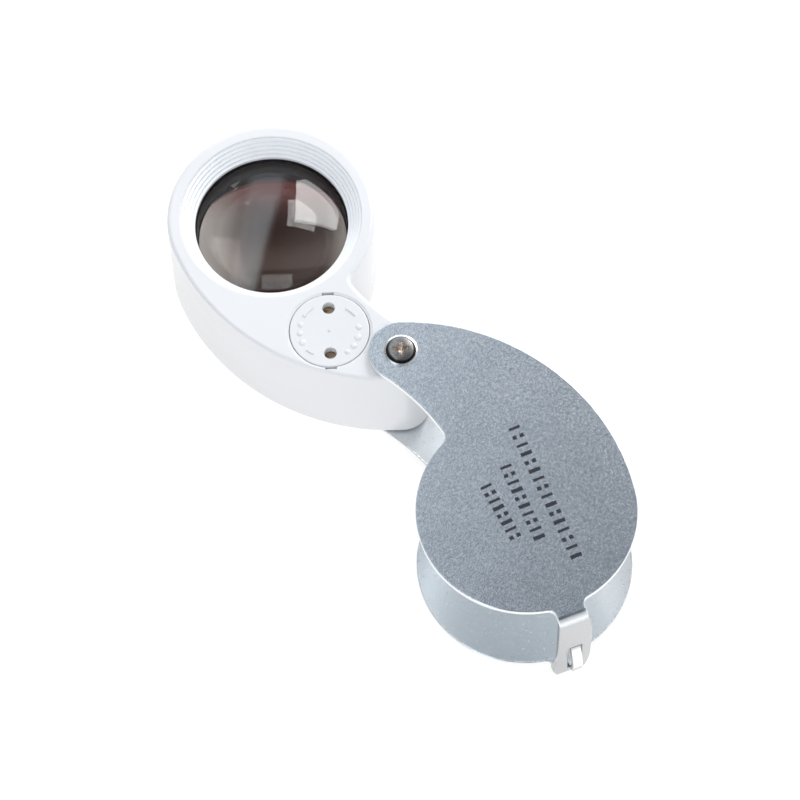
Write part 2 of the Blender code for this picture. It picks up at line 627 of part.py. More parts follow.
def make_contacts(spring_mat, metal):
    bottom = 18.4 * MM - (CELL_HEIGHT + 0.05 * MM) * CELL_COUNT
    turns, per_turn = 2.5, 12
    count = int(turns * per_turn)
    coil = []
    for i in range(count + 1):
        u = i / count
        angle = 2 * math.pi * turns * u
        radius = (3.6 - 2.2 * u) * MM
        height = (7.6 + (bottom / MM - 8.0) * u) * MM
        coil.append((CELL_POS[0] + radius * math.cos(angle), CELL_POS[1] + radius * math.sin(angle), height))
    shade(wire("battery_spring", coil, 0.25 * MM, SWING), spring_mat)

    strip_at = from_cell(6.75 * MM)
    to_cell = math.atan2(CELL_POS[1], CELL_POS[0])
    strip = block("side_contact", (0.3 * MM, 1.8 * MM, 13.6 * MM), (*strip_at, 11.3 * MM), to_cell, SWING)
    shade(strip, metal)

    rise = 4.2 * MM
    path = [(LEAF_ACROSS * (1 - (i / 6) ** 2), -TUBE_R - GAP - 0.1 * MM - rise * (1 - i / 6)) for i in range(7)]
    shade(leaf("switch_leaf", path, BOARD_TOP + GAP, BOARD_TOP + 1.4 * MM, 0.2 * MM, SWING), metal)


def make_board(green, dark):
    left, right, front, back = 0.2 * MM, 8.4 * MM, -14.5 * MM, -5.6 * MM
    clip = 1.6 * MM
    outline = [(left + clip, front), (right, front), (right, back - clip), (right - clip, back), (left, back),
               (left, front + clip)]
    board = slab("circuit_board", outline, BOARD_TOP - BOARD_THICK, BOARD_TOP, parent=SWING)
    shade(board, green)
    chip_z = BOARD_TOP + GAP + 0.25 * MM
    shade(block("resistor", (2.0 * MM, 1.2 * MM, 0.5 * MM), (3.4 * MM, -8.0 * MM, chip_z), 0.0, SWING), dark)


def make_leds(clear, red, black_wire):
    tip = HOUSING_LOW + 0.15 * MM
    dome = [(LED_R * math.cos(a), tip + LED_R * (1 - math.sin(a))) for a in (math.radians(d) for d in (0, 30, 60))]
    profile = [(0, LED_TOP), (LED_R, LED_TOP)] + dome + [(0, tip)]
    for i, (at, side, across, mat) in enumerate(zip(LED_PLACES, (1, -1), LEAD_ACROSS, (red, black_wire)), 1):
        shade(turned(f"led_{i}", profile, at, SMALL, False, SWING), clear)
        start = math.pi / 2 + side * LED_SPREAD
        end = math.acos(across / LED_RING_R)
        route = [(*at, LED_TOP + GAP), (*at, LED_TOP + 1.0 * MM)]
        route += [(*round_place(LED_RING_R, start + (end - start) * t), 8.6 * MM) for t in (0.15, 0.5, 0.85)]
        route += [(across, -18.8 * MM, 8.0 * MM), (across, -18.4 * MM, 5.6 * MM), (across, -17.2 * MM, 5.0 * MM),
                  (across, -14.0 * MM, 5.0 * MM)]
        shade(wire(f"led_wire_{i}", route, 0.3 * MM, SWING), mat)


# ---- build --------------------------------------------------------------------------------
def main():
    silver = finish("satin_silver", (0.52, 0.57, 0.61), 0.38, 1.0)
    white = finish("white_abs", (0.90, 0.90, 0.91), 0.22)
    glass = finish("lens_glass", (0.95, 0.97, 0.96), 0.03, 0.0, 0.35)
    black = finish("black_plastic", (0.02, 0.02, 0.02), 0.5)
    gunmetal = finish("gunmetal", (0.12, 0.11, 0.11), 0.3, 1.0)
    nickel = finish("bright_nickel", (0.80, 0.80, 0.80), 0.18, 1.0)
    bronze = finish("spring_bronze", (0.55, 0.38, 0.22), 0.35, 1.0)
    cell = finish("cell_steel", (0.70, 0.70, 0.70), 0.25, 1.0)
    green = finish("board_green", (0.05, 0.25, 0.12), 0.5)
    red = finish("red_insulation", (0.6, 0.04, 0.03), 0.45)
    clear = finish("led_epoxy", (0.95, 0.95, 0.85), 0.08, 0.0, 0.6)

    make_case_shell(silver)
    make_pivot(gunmetal, nickel, bronze)
    make_housing(white)
    make_base(white, gunmetal)
    make_optics(glass, black)
    make_cover(white, bronze)
    make_cells(cell)
    make_contacts(nickel, bronze)
    make_board(green, black)
    make_leds(clear, red, black)


main()
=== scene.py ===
"""Looks of a folding pocket loupe with a lit lens unit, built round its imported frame.

The case is one satin sheet folded round a strip; the white lens unit swings out of it about a
pivot screw.  Every piece is in metres, in the frame's own axes: the origin is under the middle of
the round case, +Y runs to the pivot and +Z is up.
"""

import logging
import math
from collections.abc import Iterable, Sequence
from dataclasses import dataclass, replace
from enum import Enum
from typing import NamedTuple

import bmesh
import bpy
from mathutils import Matrix, Vector, noise


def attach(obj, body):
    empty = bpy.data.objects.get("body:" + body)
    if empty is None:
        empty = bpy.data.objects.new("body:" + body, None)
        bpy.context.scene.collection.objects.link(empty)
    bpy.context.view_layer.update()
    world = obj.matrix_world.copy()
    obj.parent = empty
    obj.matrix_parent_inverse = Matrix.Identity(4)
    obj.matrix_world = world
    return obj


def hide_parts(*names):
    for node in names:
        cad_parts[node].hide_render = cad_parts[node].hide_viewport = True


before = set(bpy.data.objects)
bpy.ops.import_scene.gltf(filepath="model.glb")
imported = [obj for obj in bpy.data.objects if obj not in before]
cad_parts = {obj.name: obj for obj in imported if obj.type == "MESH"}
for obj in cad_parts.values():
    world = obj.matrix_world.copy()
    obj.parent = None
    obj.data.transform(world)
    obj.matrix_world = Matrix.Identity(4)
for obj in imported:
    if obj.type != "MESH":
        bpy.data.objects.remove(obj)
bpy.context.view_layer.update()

LOG = logging.getLogger("loupe")
MM = 0.001
UP = Vector((0, 0, 1))
MERGE = 0.002 * MM                          # vertices nearer than this are one
CASE_HEIGHT = 22.0 * MM
SHEET = 1.0 * MM
STRIP_ANGLE = math.radians(255.7)           # direction of the strip from the round end's centre
HOUSING_LOW, HOUSING_TOP = 1.3 * MM, 20.7 * MM
SPANNER_ANGLE = math.radians(52.6)          # direction of the line through the spanner holes
Profile = list[tuple[float, float]]
BMesh = bmesh.types.BMesh
Piece = bpy.types.Object
Colour = tuple[float, float, float]


class Body(Enum):
    """The frame's moving bodies."""

    CASE = "case"
    LENS_UNIT = "lens_unit"
    COVER = "cover"


# ---- shader graph ---------------------------------------------------------------------------
class Value:
    """A socket of a material's graph that takes part in Python arithmetic."""

    def __init__(self, graph: "Graph", socket: bpy.types.NodeSocket) -> None:
        """Keep the graph and the socket."""
        self.graph = graph
        self.socket = socket

    def _math(self, operation: str, first: "Value | float", second: "Value | float" = 0.0) -> "Value":
        """Add one Math node on two values."""
        return self.graph.node("ShaderNodeMath", {"operation": operation}, {0: first, 1: second})

    def __add__(self, other: "Value | float") -> "Value":
        """self + other."""
        return self._math("ADD", self, other)

    def __radd__(self, other: float) -> "Value":
        """other + self."""
        return self._math("ADD", other, self)

    def __sub__(self, other: "Value | float") -> "Value":
        """self - other."""
        return self._math("SUBTRACT", self, other)

    def __rsub__(self, other: float) -> "Value":
        """other - self."""
        return self._math("SUBTRACT", other, self)

    def __mul__(self, other: "Value | float") -> "Value":
        """self * other."""
        return self._math("MULTIPLY", self, other)

    def __rmul__(self, other: float) -> "Value":
        """other * self."""
        return self._math("MULTIPLY", other, self)

    def __pow__(self, other: float) -> "Value":
        """self ** other."""
        return self._math("POWER", self, other)

    def above(self, limit: float) -> "Value":
        """1 where self is greater than the limit, else 0."""
        return self._math("GREATER_THAN", self, limit)

    def limit(self, low: float = 0.0, high: float = 1.0) -> "Value":
        """self held between two numbers."""
        return self._math("MAXIMUM", self._math("MINIMUM", self, high), low)

    def band(self, low: float, high: float) -> "Value":
        """A smooth ramp from 0 at low to 1 at high."""
        inputs = {"Value": self, "From Min": low, "From Max": high}
        return self.graph.node("ShaderNodeMapRange", {"interpolation_type": "SMOOTHSTEP"}, inputs)


class Graph:
    """The node graph of one new material."""

    def __init__(self, name: str) -> None:
        """Start a material that has only its Principled shader.

        Args:
            name: the material's name.
        """
        self.material = bpy.data.materials.new(name)
        self.material.use_nodes = True
        self.tree = self.material.node_tree
        self.shader = self.tree.nodes["Principled BSDF"]
        self.place = self.node("ShaderNodeTexCoord", {}, {}, "Object")

    def node(self, kind: str, settings: dict, inputs: dict, output: int | str = 0) -> Value:
        """Add a node.

        Args:
            kind: the node's type.
            settings: its own settings; "stops" are a ramp's stops.
            inputs: values or links for its sockets.
            output: which output to return.

        Returns:
            The chosen output as a Value.
        """
        made = self.tree.nodes.new(kind)
        for key, setting in settings.items():
            if key == "stops":
                self._set_stops(made.color_ramp, setting)
            else:
                setattr(made, key, setting)
        for key, value in inputs.items():
            self._feed(made.inputs[key], value)
        return Value(self, made.outputs[output])

    def _set_stops(self, ramp: bpy.types.ColorRamp, stops: Sequence[tuple[float, Colour]]) -> None:
        """Give a colour ramp its stops."""
        while len(ramp.elements) < len(stops):
            ramp.elements.new(0.5)
        for element, (position, colour) in zip(ramp.elements, stops):
            element.position = position
            element.color = (*colour, 1.0)

    def _feed(self, socket: bpy.types.NodeSocket, value: object) -> None:
        """Link a value to a socket, or set a constant on it."""
        if isinstance(value, Value):
            self.tree.links.new(value.socket, socket)
        elif isinstance(value, tuple) and len(value) == 3 and socket.type == "RGBA":
            socket.default_value = (*value, 1.0)
        else:
            socket.default_value = value

    def surface(self, **inputs: object) -> None:
        """Feed the Principled shader; underscores in names stand for spaces."""
        for key, value in inputs.items():
            self._feed(self.shader.inputs[key.replace("_", " ")], value)

    def mapped(self, scale: Sequence[float] = (1, 1, 1), turn: float = 0.0,
               shift: Sequence[float] = (0, 0, 0)) -> Value:
        """Object coordinates moved, turned about Z and scaled."""
        settings = {"vector_type": "TEXTURE"}
        inputs = {"Vector": self.place, "Location": tuple(shift), "Rotation": (0, 0, turn),
                  "Scale": tuple(1 / s for s in scale)}
        return self.node("ShaderNodeMapping", settings, inputs)

    def noise(self, size: float, detail: float = 2.0, rough: float = 0.5,
              place: Value | None = None) -> Value:
        """Soft noise whose blotches are about `size` metres across, from 0 to 1."""
        inputs = {"Vector": place or self.place, "Scale": 1 / size, "Detail": detail, "Roughness": rough}
        return self.node("ShaderNodeTexNoise", {}, inputs, "Fac")

    def cells(self, size: float, feature: str = "F1") -> Value:
        """Distance within Voronoi cells about `size` metres across."""
        inputs = {"Vector": self.place, "Scale": 1 / size}
        return self.node("ShaderNodeTexVoronoi", {"feature": feature}, inputs, "Distance")

    def axis(self, name: str, place: Value | None = None) -> Value:
        """One of the coordinates X, Y and Z."""
        return self.node("ShaderNodeSeparateXYZ", {}, {0: place or self.place}, name)

    def blend(self, share: "Value | float", first: object, second: object) -> Value:
        """Mix two colours by a share from 0 to 1."""
        settings = {"data_type": "RGBA"}
        return self.node("ShaderNodeMix", settings, {0: share, 6: first, 7: second}, 2)

    def bump(self, height: Value, depth: float, strength: float = 1.0, under: Value | None = None) -> Value:
        """A bump of `height` times `depth` metres, over another bump if there is one."""
        inputs = {"Height": height, "Distance": depth, "Strength": strength}
        if under is not None:
            inputs["Normal"] = under
        return self.node("ShaderNodeBump", {}, inputs, "Normal")


# ---- finishes -------------------------------------------------------------------------------
@dataclass(frozen=True)
class Finish:
    """A procedural material."""

    name: str

    def build(self) -> bpy.types.Material:
        """Make the material.

        Returns:
            The new material.
        """
        graph = Graph(self.name)
        self.paint(graph)
        return graph.material

    def paint(self, graph: Graph) -> None:
        """Feed the material's shader."""
        raise NotImplementedError


@dataclass(frozen=True)
class SatinSheet(Finish):
    """Bare rolled sheet, blue grey, with a fine grain, faint clouds and brighter sheared edges; its colour also
    carries painted light and shade: a painted highlight on the bends and the loop's upper part, a painted tone
    on the plates' inner faces, and painted shade on the strip and the loop's lower end.
    """

    light: Colour = (0.80, 0.845, 0.89)
    dark: Colour = (0.60, 0.655, 0.71)
    # brighter sheared edges, and a painted highlight on the bends and on the loop's upper part
    burnish_and_highlight: Colour = (0.97, 0.97, 0.965)
    # painted light and shade: a tone of its own for the plates' inner faces, set for how they are lit
    inner: Colour = (0.78, 0.805, 0.82)
    # painted shade: the strip darker than the plates
    strip: Colour = (0.50, 0.50, 0.495)
    # painted shade on the loop's lower end
    loop_end: Colour = (0.36, 0.36, 0.37)
    roughness: float = 0.2
    grain: float = 0.24 * MM

    def paint(self, graph: Graph) -> None:
        """Feed the shader."""
        grain = graph.noise(self.grain, 2.0, 0.6)
        specks = graph.noise(0.55 * MM, 3.0, 0.7)
        clouds = graph.noise(7 * MM, 3.0, 0.55)
        mottle = (0.14 * clouds + 0.33 * specks + 0.53 * grain).band(0.38, 0.62)
        scratches = graph.noise(0.12 * MM, 1.0, 0.5, graph.mapped((1.0, 0.04, 1.0), math.radians(35)))
        bright = (graph.noise(0.34 * MM, 1.0) * graph.noise(0.9 * MM, 1.0)).band(0.38, 0.48)
        colour = graph.blend(0.7 * bright, graph.blend(mottle, self.dark, self.light), (0.9, 0.93, 0.95))
        height = graph.axis("Z")
        # bright band through each plate's thickness: the sheared edges, and a painted highlight where it
        # crosses the bends
        edge = sum((self.near(height, z, 0.36 * MM) for z in (SHEET / 2, CASE_HEIGHT - SHEET / 2)), 0.0)
        # painted light and shade on the plates' inner faces
        inner = sum((self.near(height, z, 0.03 * MM) for z in (SHEET, CASE_HEIGHT - SHEET)), 0.0)
        # painted shade over the strip, between the bends
        strip = height.band(1.2 * MM, 1.9 * MM) * (1 - height.band(20.1 * MM, 20.8 * MM))
        colour = graph.blend(0.8 * inner, colour, self.inner)
        colour = graph.blend(0.8 * strip, colour, self.strip)
        # where the loop stands out of the strip: painted highlight on its upper part, painted shade on its
        # lower end
        out = graph.axis("X") * math.cos(STRIP_ANGLE) + graph.axis("Y") * math.sin(STRIP_ANGLE)
        loop = graph.blend(height.band(3.2 * MM, 6.8 * MM), self.loop_end, self.burnish_and_highlight)
        colour = graph.blend(out.band(20.06 * MM, 20.5 * MM), colour, loop)
        graph.surface(
            Base_Color=graph.blend(edge, colour, self.burnish_and_highlight),
            Metallic=1.0,
            Roughness=(self.roughness + 0.08 * (specks - 0.5) + 0.05 * (scratches - 0.5) + 0.2 * edge
                       + 0.09 * inner),
            Normal=graph.bump(scratches, 0.003 * MM, 0.25, graph.bump(grain, 0.014 * MM, 0.5)))

    def near(self, height: Value, level: float, reach: float) -> Value:
        """1 where a height lies within `reach` of a level, fading to 0 outside."""
        away = (height - level) * (1 / reach)
        return 1 - (away * away).band(0.9, 1.5)


@dataclass(frozen=True)
class MouldedWhite(Finish):
    """White moulded plastic with a faint skin texture and dust in it; inside a round mouth the colour is a
    paler white, painted light.
    """

    colour: Colour = (0.80, 0.80, 0.81)
    shade: Colour = (0.78, 0.78, 0.785)
    roughness: float = 0.24
    skin: float = 0.9 * MM
    depth: float = 0.006 * MM
    mouth_at: tuple[float, float] = (0.0, 0.0)
    mouth_r: float = 0.0
    mouth_top: float = 20.62 * MM
    # painted light: a paler white inside the mouth
    mouth_painted_light: Colour = (0.94, 0.945, 0.96)

    def paint(self, graph: Graph) -> None:
        """Feed the shader."""
        east, north = graph.axis("X") - self.mouth_at[0], graph.axis("Y") - self.mouth_at[1]
        within = 1 - ((east * east + north * north) ** 0.5).above(self.mouth_r)
        mouth = within * (1 - graph.axis("Z").above(self.mouth_top))
        skin = graph.noise(self.skin, 2.0, 0.45)
        flow = graph.noise(9 * MM, 3.0, 0.5, graph.mapped((1.0, 0.35, 1.0), math.radians(20)))
        dust = graph.noise(0.35 * MM, 1.0).band(0.74, 0.82)
        # painted light: the mouth's steps paler than the rest
        colour = graph.blend(mouth, graph.blend(flow.band(0.3, 0.7), self.shade, self.colour), self.mouth_painted_light)
        graph.surface(
            Base_Color=graph.blend(0.25 * dust, colour, (0.70, 0.69, 0.67)),
            Roughness=self.roughness + 0.10 * (flow - 0.5) + 0.2 * dust,
            IOR=1.53,
            Normal=graph.bump(skin, self.depth, 0.5))


@dataclass(frozen=True)
class DarkMoulding(Finish):
    """Black plastic or painted metal with a dull, slightly pitted skin."""

    colour: Colour = (0.012, 0.011, 0.011)
    worn: Colour = (0.03, 0.027, 0.025)
    roughness: float = 0.42
    pits: float = 0.25 * MM

    def paint(self, graph: Graph) -> None:
        """Feed the shader."""
        pits = graph.cells(self.pits)
        wear = graph.noise(1.6 * MM, 4.0, 0.6).band(0.45, 0.75)
        graph.surface(
            Base_Color=graph.blend(wear, self.colour, self.worn),
            Roughness=self.roughness + 0.18 * wear,
            Normal=graph.bump(pits, 0.01 * MM, 0.4))


@dataclass(frozen=True)
class PlatedMetal(Finish):
    """Turned or stamped plated metal, with tool lines and tarnish in the hollows."""

    colour: Colour
    tarnish: Colour
    roughness: float = 0.2
    lines: float = 0.06 * MM
    turn: float = 0.0

    def paint(self, graph: Graph) -> None:
        """Feed the shader."""
        lines = graph.noise(self.lines, 2.0, 0.5, graph.mapped((1.0, 0.06, 0.5), self.turn))
        stain = graph.noise(0.9 * MM, 4.0, 0.65).band(0.42, 0.72)
        graph.surface(
            Base_Color=graph.blend(stain, self.colour, self.tarnish),
            Metallic=1.0,
            Roughness=self.roughness + 0.14 * stain + 0.12 * (lines - 0.5),
            Normal=graph.bump(lines, 0.004 * MM, 0.5))


@dataclass(frozen=True)
class RecessedSteel(Finish):
    """A blackened screw, near black round its head's edge as painted shade, and brass brown inside its cross
    recess with bright painted glints; the washer uses the same colours by radius, dark inside as a painted
    shadow ring.
    """

    axis: tuple[float, float]
    top: float
    face: Colour = (0.24, 0.235, 0.23)
    # painted shade: near black round the screw head's edge
    side: Colour = (0.035, 0.03, 0.028)
    recess: Colour = (0.42, 0.22, 0.10)
    rim: float = 2.05 * MM

    def paint(self, graph: Graph) -> None:
        """Feed the shader."""
        east = graph.axis("X") - self.axis[0]
        north = graph.axis("Y") - self.axis[1]
        out = (east * east + north * north) ** 0.5
        depth = self.top - graph.axis("Z")
        inside = (1 - out.band(1.35 * MM, 1.5 * MM)) * depth.band(0.03 * MM, 0.07 * MM)
        outside = out.band(self.rim - 0.07 * MM, self.rim + 0.07 * MM)
        chips = graph.noise(0.25 * MM, 3.0, 0.6)
        spread = graph.node("ShaderNodeCombineXYZ", {}, {0: out * (1 / (0.05 * MM))})
        turned_lines = graph.noise(0.5, 2.0, 0.5, spread)
        # on the washer the face colour is dark: a painted shadow ring round the screw head
        face = graph.blend(chips.band(0.45, 0.7), self.face, tuple(0.6 * c for c in self.face))
        # beyond the rim radius the side colour: near-black painted shade round the screw head's edge, plain
        # nickel on the washer
        colour = graph.blend(outside, face, self.side)
        # inside the cross recess: brass brown with bright painted glints
        worn = graph.blend(chips.band(0.35, 0.6), self.recess, (0.9, 0.85, 0.78))
        graph.surface(
            Base_Color=graph.blend(inside, colour, worn),
            Metallic=1.0,
            Roughness=0.2 + 0.16 * chips,
            Normal=graph.bump(turned_lines, 0.004 * MM, 0.3, graph.bump(chips, 0.012 * MM, 0.5)))


@dataclass(frozen=True)
class PolishedGlass(Finish):
    """Clear lens glass, coated so that it mirrors little, with a trace of wiped-off dust."""

    name: str = "polished_glass"
    tint: Colour = (0.97, 0.965, 0.96)
    ior: float = 1.38

    def paint(self, graph: Graph) -> None:
        """Feed the shader."""
        wipe = graph.noise(2.5 * MM, 4.0, 0.6, graph.mapped((1.0, 0.25, 1.0), math.radians(50)))
        graph.surface(
            Base_Color=graph.blend(wipe.band(0.35, 0.75), self.tint, (0.95, 0.94, 0.935)),
            Roughness=0.015 * wipe.band(0.55, 0.85),
            IOR=self.ior,
            Transmission_Weight=1.0)


@dataclass(frozen=True)
class ShadePaintedGlass(Finish):
    """Clear glass whose colour carries painted light and shade: a dark brown painted shadow in the middle,
    paler painted light towards two opposite sides of the lens, reddish painted shade towards one end and a
    faint painted reflection arc.
    """

    axis: tuple[float, float]
    side: float
    # painted shadow: the dark brown middle of the lens
    painted_shadow: Colour = (0.045, 0.025, 0.018)
    # painted light: the paler colour towards two opposite sides
    pale: Colour = (0.50, 0.47, 0.45)
    # painted shade, reddish, towards one end
    blush: Colour = (0.14, 0.045, 0.04)

    def paint(self, graph: Graph) -> None:
        """Feed the shader."""
        place = graph.mapped((1, 1, 1), self.side, (*self.axis, 0))
        across, along = graph.axis("X", place), 0 - graph.axis("Y", place)
        streaks = graph.noise(5 * MM, 3.0, 0.5)
        near = (across + 1.5 * MM * (streaks - 0.5)).band(1.0 * MM, 11.0 * MM)
        far = (0 - across).band(7.5 * MM, 12.5 * MM)
        # painted reflection: a faint pale arc across the lens
        bowl = along + 3.0 * MM - 0.018 * (across * across) * (1 / MM)
        glow = (bowl + 4.6 * MM).band(0, 0.5 * MM) * (1 - (bowl + 1.2 * MM).band(0, 3.4 * MM))
        # the painted shadow turns reddish towards one end
        warm = along.band(2.0 * MM, 8.0 * MM)
        colour = graph.blend(0.6 * glow, graph.blend(warm, self.painted_shadow, self.blush), (0.17, 0.13, 0.115))
        # painted light towards two opposite sides of the lens, over the painted shadow
        graph.surface(
            Base_Color=graph.blend((near * (1 - warm * 0.5) + 0.7 * far).limit(), colour, self.pale),
            Roughness=0.01,
            IOR=1.44,
            Transmission_Weight=1.0)


@dataclass(frozen=True)
class ClearResin(Finish):
    """The epoxy of a light-emitting diode, with a little haze in it."""

    name: str = "clear_resin"
    tint: Colour = (0.95, 0.95, 0.88)

    def paint(self, graph: Graph) -> None:
        """Feed the shader."""
        haze = graph.noise(0.6 * MM, 2.0)
        graph.surface(
            Base_Color=graph.blend(haze.band(0.3, 0.8), self.tint, (0.88, 0.88, 0.78)),
            Roughness=0.05 + 0.12 * haze,
            IOR=1.5,
            Transmission_Weight=0.75)


@dataclass(frozen=True)
class PrintedInk(Finish):
    """Black pad-printed ink, slightly uneven in cover and gloss."""

    name: str = "printed_ink"

    def paint(self, graph: Graph) -> None:
        """Feed the shader."""
        cover = graph.noise(0.25 * MM, 3.0, 0.6)
        graph.surface(
            Base_Color=graph.blend(cover.band(0.35, 0.8), (0.008, 0.008, 0.016), (0.03, 0.03, 0.045)),
            Roughness=0.55 + 0.25 * cover,
            Normal=graph.bump(cover, 0.004 * MM, 0.4))


@dataclass(frozen=True)
class CircuitBoard(Finish):
    """Green solder mask over raised copper tracks, with bare pads."""

    name: str = "solder_mask"
    pitch: float = 1.5 * MM

    def paint(self, graph: Graph) -> None:
        """Feed the shader."""
        warped = graph.cells(self.pitch, "DISTANCE_TO_EDGE")
        tracks = 1 - warped.band(0.03, 0.07)
        pads = 1 - graph.cells(self.pitch * 1.6).band(0.13, 0.17)
        fibre = graph.noise(0.15 * MM, 2.0)
        mask = graph.blend(tracks, (0.012, 0.11, 0.045), (0.03, 0.22, 0.09))
        mask = graph.blend(0.3 * fibre, mask, (0.02, 0.07, 0.03))
        graph.surface(
            Base_Color=graph.blend(pads, mask, (0.72, 0.71, 0.68)),
            Metallic=pads,
            Roughness=0.32 + 0.15 * fibre - 0.08 * pads,
            Normal=graph.bump(tracks + pads, 0.03 * MM, 0.7))


@dataclass(frozen=True)
class WireSleeve(Finish):
    """Thin plastic insulation, a little scuffed."""

    colour: Colour

    def paint(self, graph: Graph) -> None:
        """Feed the shader."""
        scuff = graph.noise(0.4 * MM, 3.0, 0.6)
        pale = tuple(0.7 * c + 0.08 for c in self.colour)
        graph.surface(
            Base_Color=graph.blend(scuff.band(0.45, 0.8), self.colour, pale),
            Roughness=0.4 + 0.2 * scuff,
            Normal=graph.bump(scuff, 0.008 * MM, 0.4))


@dataclass(frozen=True)
class TableTop(Finish):
    """The plain pale floor."""

    name: str = "pale_floor"

    def paint(self, graph: Graph) -> None:
        """Feed the shader."""
        cloud = graph.noise(0.4, 2.0)
        graph.surface(
            Base_Color=graph.blend(cloud, (0.41, 0.41, 0.41), (0.44, 0.44, 0.44)),
            Roughness=0.85,
            Emission_Color=(1.0, 0.985, 0.968),
            Emission_Strength=0.68)


# ---- mesh tools -----------------------------------------------------------------------------
def new_piece(name: str, bm: BMesh, sharp: float = 35.0) -> Piece:
    """Turn a bmesh into an object at the origin.

    Args:
        name: the piece's name.
        bm: its mesh, which is freed.
        sharp: edges steeper than this many degrees stay sharp.

    Returns:
        The new object, linked to the scene.
    """
    mesh = bpy.data.meshes.new(name)
    bm.to_mesh(mesh)
    bm.free()
    piece = bpy.data.objects.new(name, mesh)
    bpy.context.scene.collection.objects.link(piece)
    mesh.shade_smooth()
    mesh.set_sharp_from_angle(angle=math.radians(sharp))
    return piece


def settle(piece: Piece, sharp: float = 35.0) -> None:
    """Bake a piece's modifiers into its mesh."""
    bpy.context.view_layer.update()
    graph = bpy.context.evaluated_depsgraph_get()
    mesh = bpy.data.meshes.new_from_object(piece.evaluated_get(graph))
    piece.modifiers.clear()
    old, piece.data = piece.data, mesh
    bpy.data.meshes.remove(old)
    mesh.name = piece.name
    mesh.shade_smooth()
    mesh.set_sharp_from_angle(angle=math.radians(sharp))


def carve(piece: Piece, cutters: Iterable[BMesh],
          operation: str = "DIFFERENCE") -> None:
    """Cut shapes out of a piece, or add them, and bake the result.

    Args:
        piece: the piece to change.
        cutters: closed meshes, which are freed.
        operation: DIFFERENCE or UNION.
    """
    tools = [new_piece(f"{piece.name}_tool", bm) for bm in cutters]
    for tool in tools:
        mod = piece.modifiers.new("cut", "BOOLEAN")
        mod.operation = operation
        mod.solver = "EXACT"
        mod.object = tool
    settle(piece)
    for tool in tools:
        mesh = tool.data
        bpy.data.objects.remove(tool)
        bpy.data.meshes.remove(mesh)


def soften(piece: Piece, width: float, segments: int = 3, angle: float = 50.0) -> None:
    """Round a piece's edges and give its flats true normals, as live modifiers."""
    mod = piece.modifiers.new("edge", "BEVEL")
    mod.width = width
    mod.segments = segments
    mod.limit_method = "ANGLE"
    mod.angle_limit = math.radians(angle)
    mod.use_clamp_overlap = True
    mod.miter_outer = "MITER_ARC"
    even_normals(piece)


def even_normals(piece: Piece) -> None:
    """Let large flat faces keep their own normal."""
    mod = piece.modifiers.new("normals", "WEIGHTED_NORMAL")
    mod.keep_sharp = True
    mod.weight = 100


def tidy(bm: BMesh) -> BMesh:
    """Merge doubles and point the faces outwards."""
    bmesh.ops.remove_doubles(bm, verts=bm.verts, dist=MERGE)
    bmesh.ops.recalc_face_normals(bm, faces=bm.faces)
    return bm


def chain(bm: BMesh, points: Profile) -> list[bmesh.types.BMEdge]:
    """Edges through (radius, height) points in the XZ plane."""
    verts = [bm.verts.new((r, 0, z)) for r, z in points]
    return [bm.edges.new(pair) for pair in zip(verts, verts[1:])]


def spin_profile(bm: BMesh, points: Profile, at: Sequence[float] = (0, 0),
                 steps: int = 96) -> None:
    """Turn a profile of (radius, height) points a full turn about a vertical axis.

    Args:
        bm: the mesh to add to.
        points: the profile; points at radius 0 close it.
        at: where the axis stands.
        steps: how many steps the turn has.
    """
    before = set(bm.verts)
    edges = chain(bm, points)
    verts = {v for e in edges for v in e.verts}
    bmesh.ops.spin(bm, geom=[*verts, *edges], cent=(0, 0, 0), axis=UP, angle=math.tau, steps=steps,
                   use_merge=True)
    made = [v for v in bm.verts if v not in before]
    bmesh.ops.translate(bm, verts=made, vec=(*at, 0))


def turned(points: Profile, at: Sequence[float] = (0, 0), steps: int = 96) -> BMesh:
    """A closed turned solid or ring."""
    bm = bmesh.new()
    spin_profile(bm, points, at, steps)
    return tidy(bm)


def ring(points: Profile, at: Sequence[float] = (0, 0), steps: int = 96) -> BMesh:
    """A turned ring whose profile runs back to its first point."""
    return turned([*points, points[0]], at, steps)


def cylinder(radius: float, low: float, high: float, at: Sequence[float] = (0, 0), steps: int = 48,
             top: float | None = None) -> BMesh:
    """A plain cylinder or cone, used for cutting."""
    bm = bmesh.new()
    upper = radius if top is None else top
    bmesh.ops.create_cone(bm, cap_ends=True, segments=steps, radius1=radius, radius2=upper, depth=high - low)
    bmesh.ops.translate(bm, verts=bm.verts, vec=(*at, (low + high) / 2))
    return bm


def block(size: Sequence[float], centre: Sequence[float], turn: float = 0.0) -> BMesh:
    """A box turned about the vertical."""
    bm = bmesh.new()
    bmesh.ops.create_cube(bm, size=1.0)
    bmesh.ops.scale(bm, verts=bm.verts, vec=size)
    bmesh.ops.rotate(bm, verts=bm.verts, matrix=Matrix.Rotation(turn, 3, "Z"))
    bmesh.ops.translate(bm, verts=bm.verts, vec=centre)
    return bm


def moved(bm: BMesh, matrix: Matrix) -> BMesh:
    """Move a whole bmesh by a matrix and give it back."""
    bmesh.ops.transform(bm, matrix=matrix, verts=bm.verts)
    return bm


def fillet(inset: float, z: float, radius: float, upwards: bool, steps: int = 6) -> Profile:
    """Levels of (inset, height) round the edge between a side wall and a flat.

    Args:
        inset: how far in the side wall is.
        z: the flat's height.
        radius: the edge's radius.
        upwards: True for an upper edge, run from the wall to the flat.
        steps: how many steps the edge has.

    Returns:
        The levels in order, from low to high.
    """
    levels = []
    for i in range(steps + 1):
        a = math.pi / 2 * i / steps
        levels.append((inset + radius * (1 - math.cos(a)), z - radius * (1 - math.sin(a))))
    if upwards:
        return levels
    return [(i, 2 * z - h) for i, h in reversed(levels)]


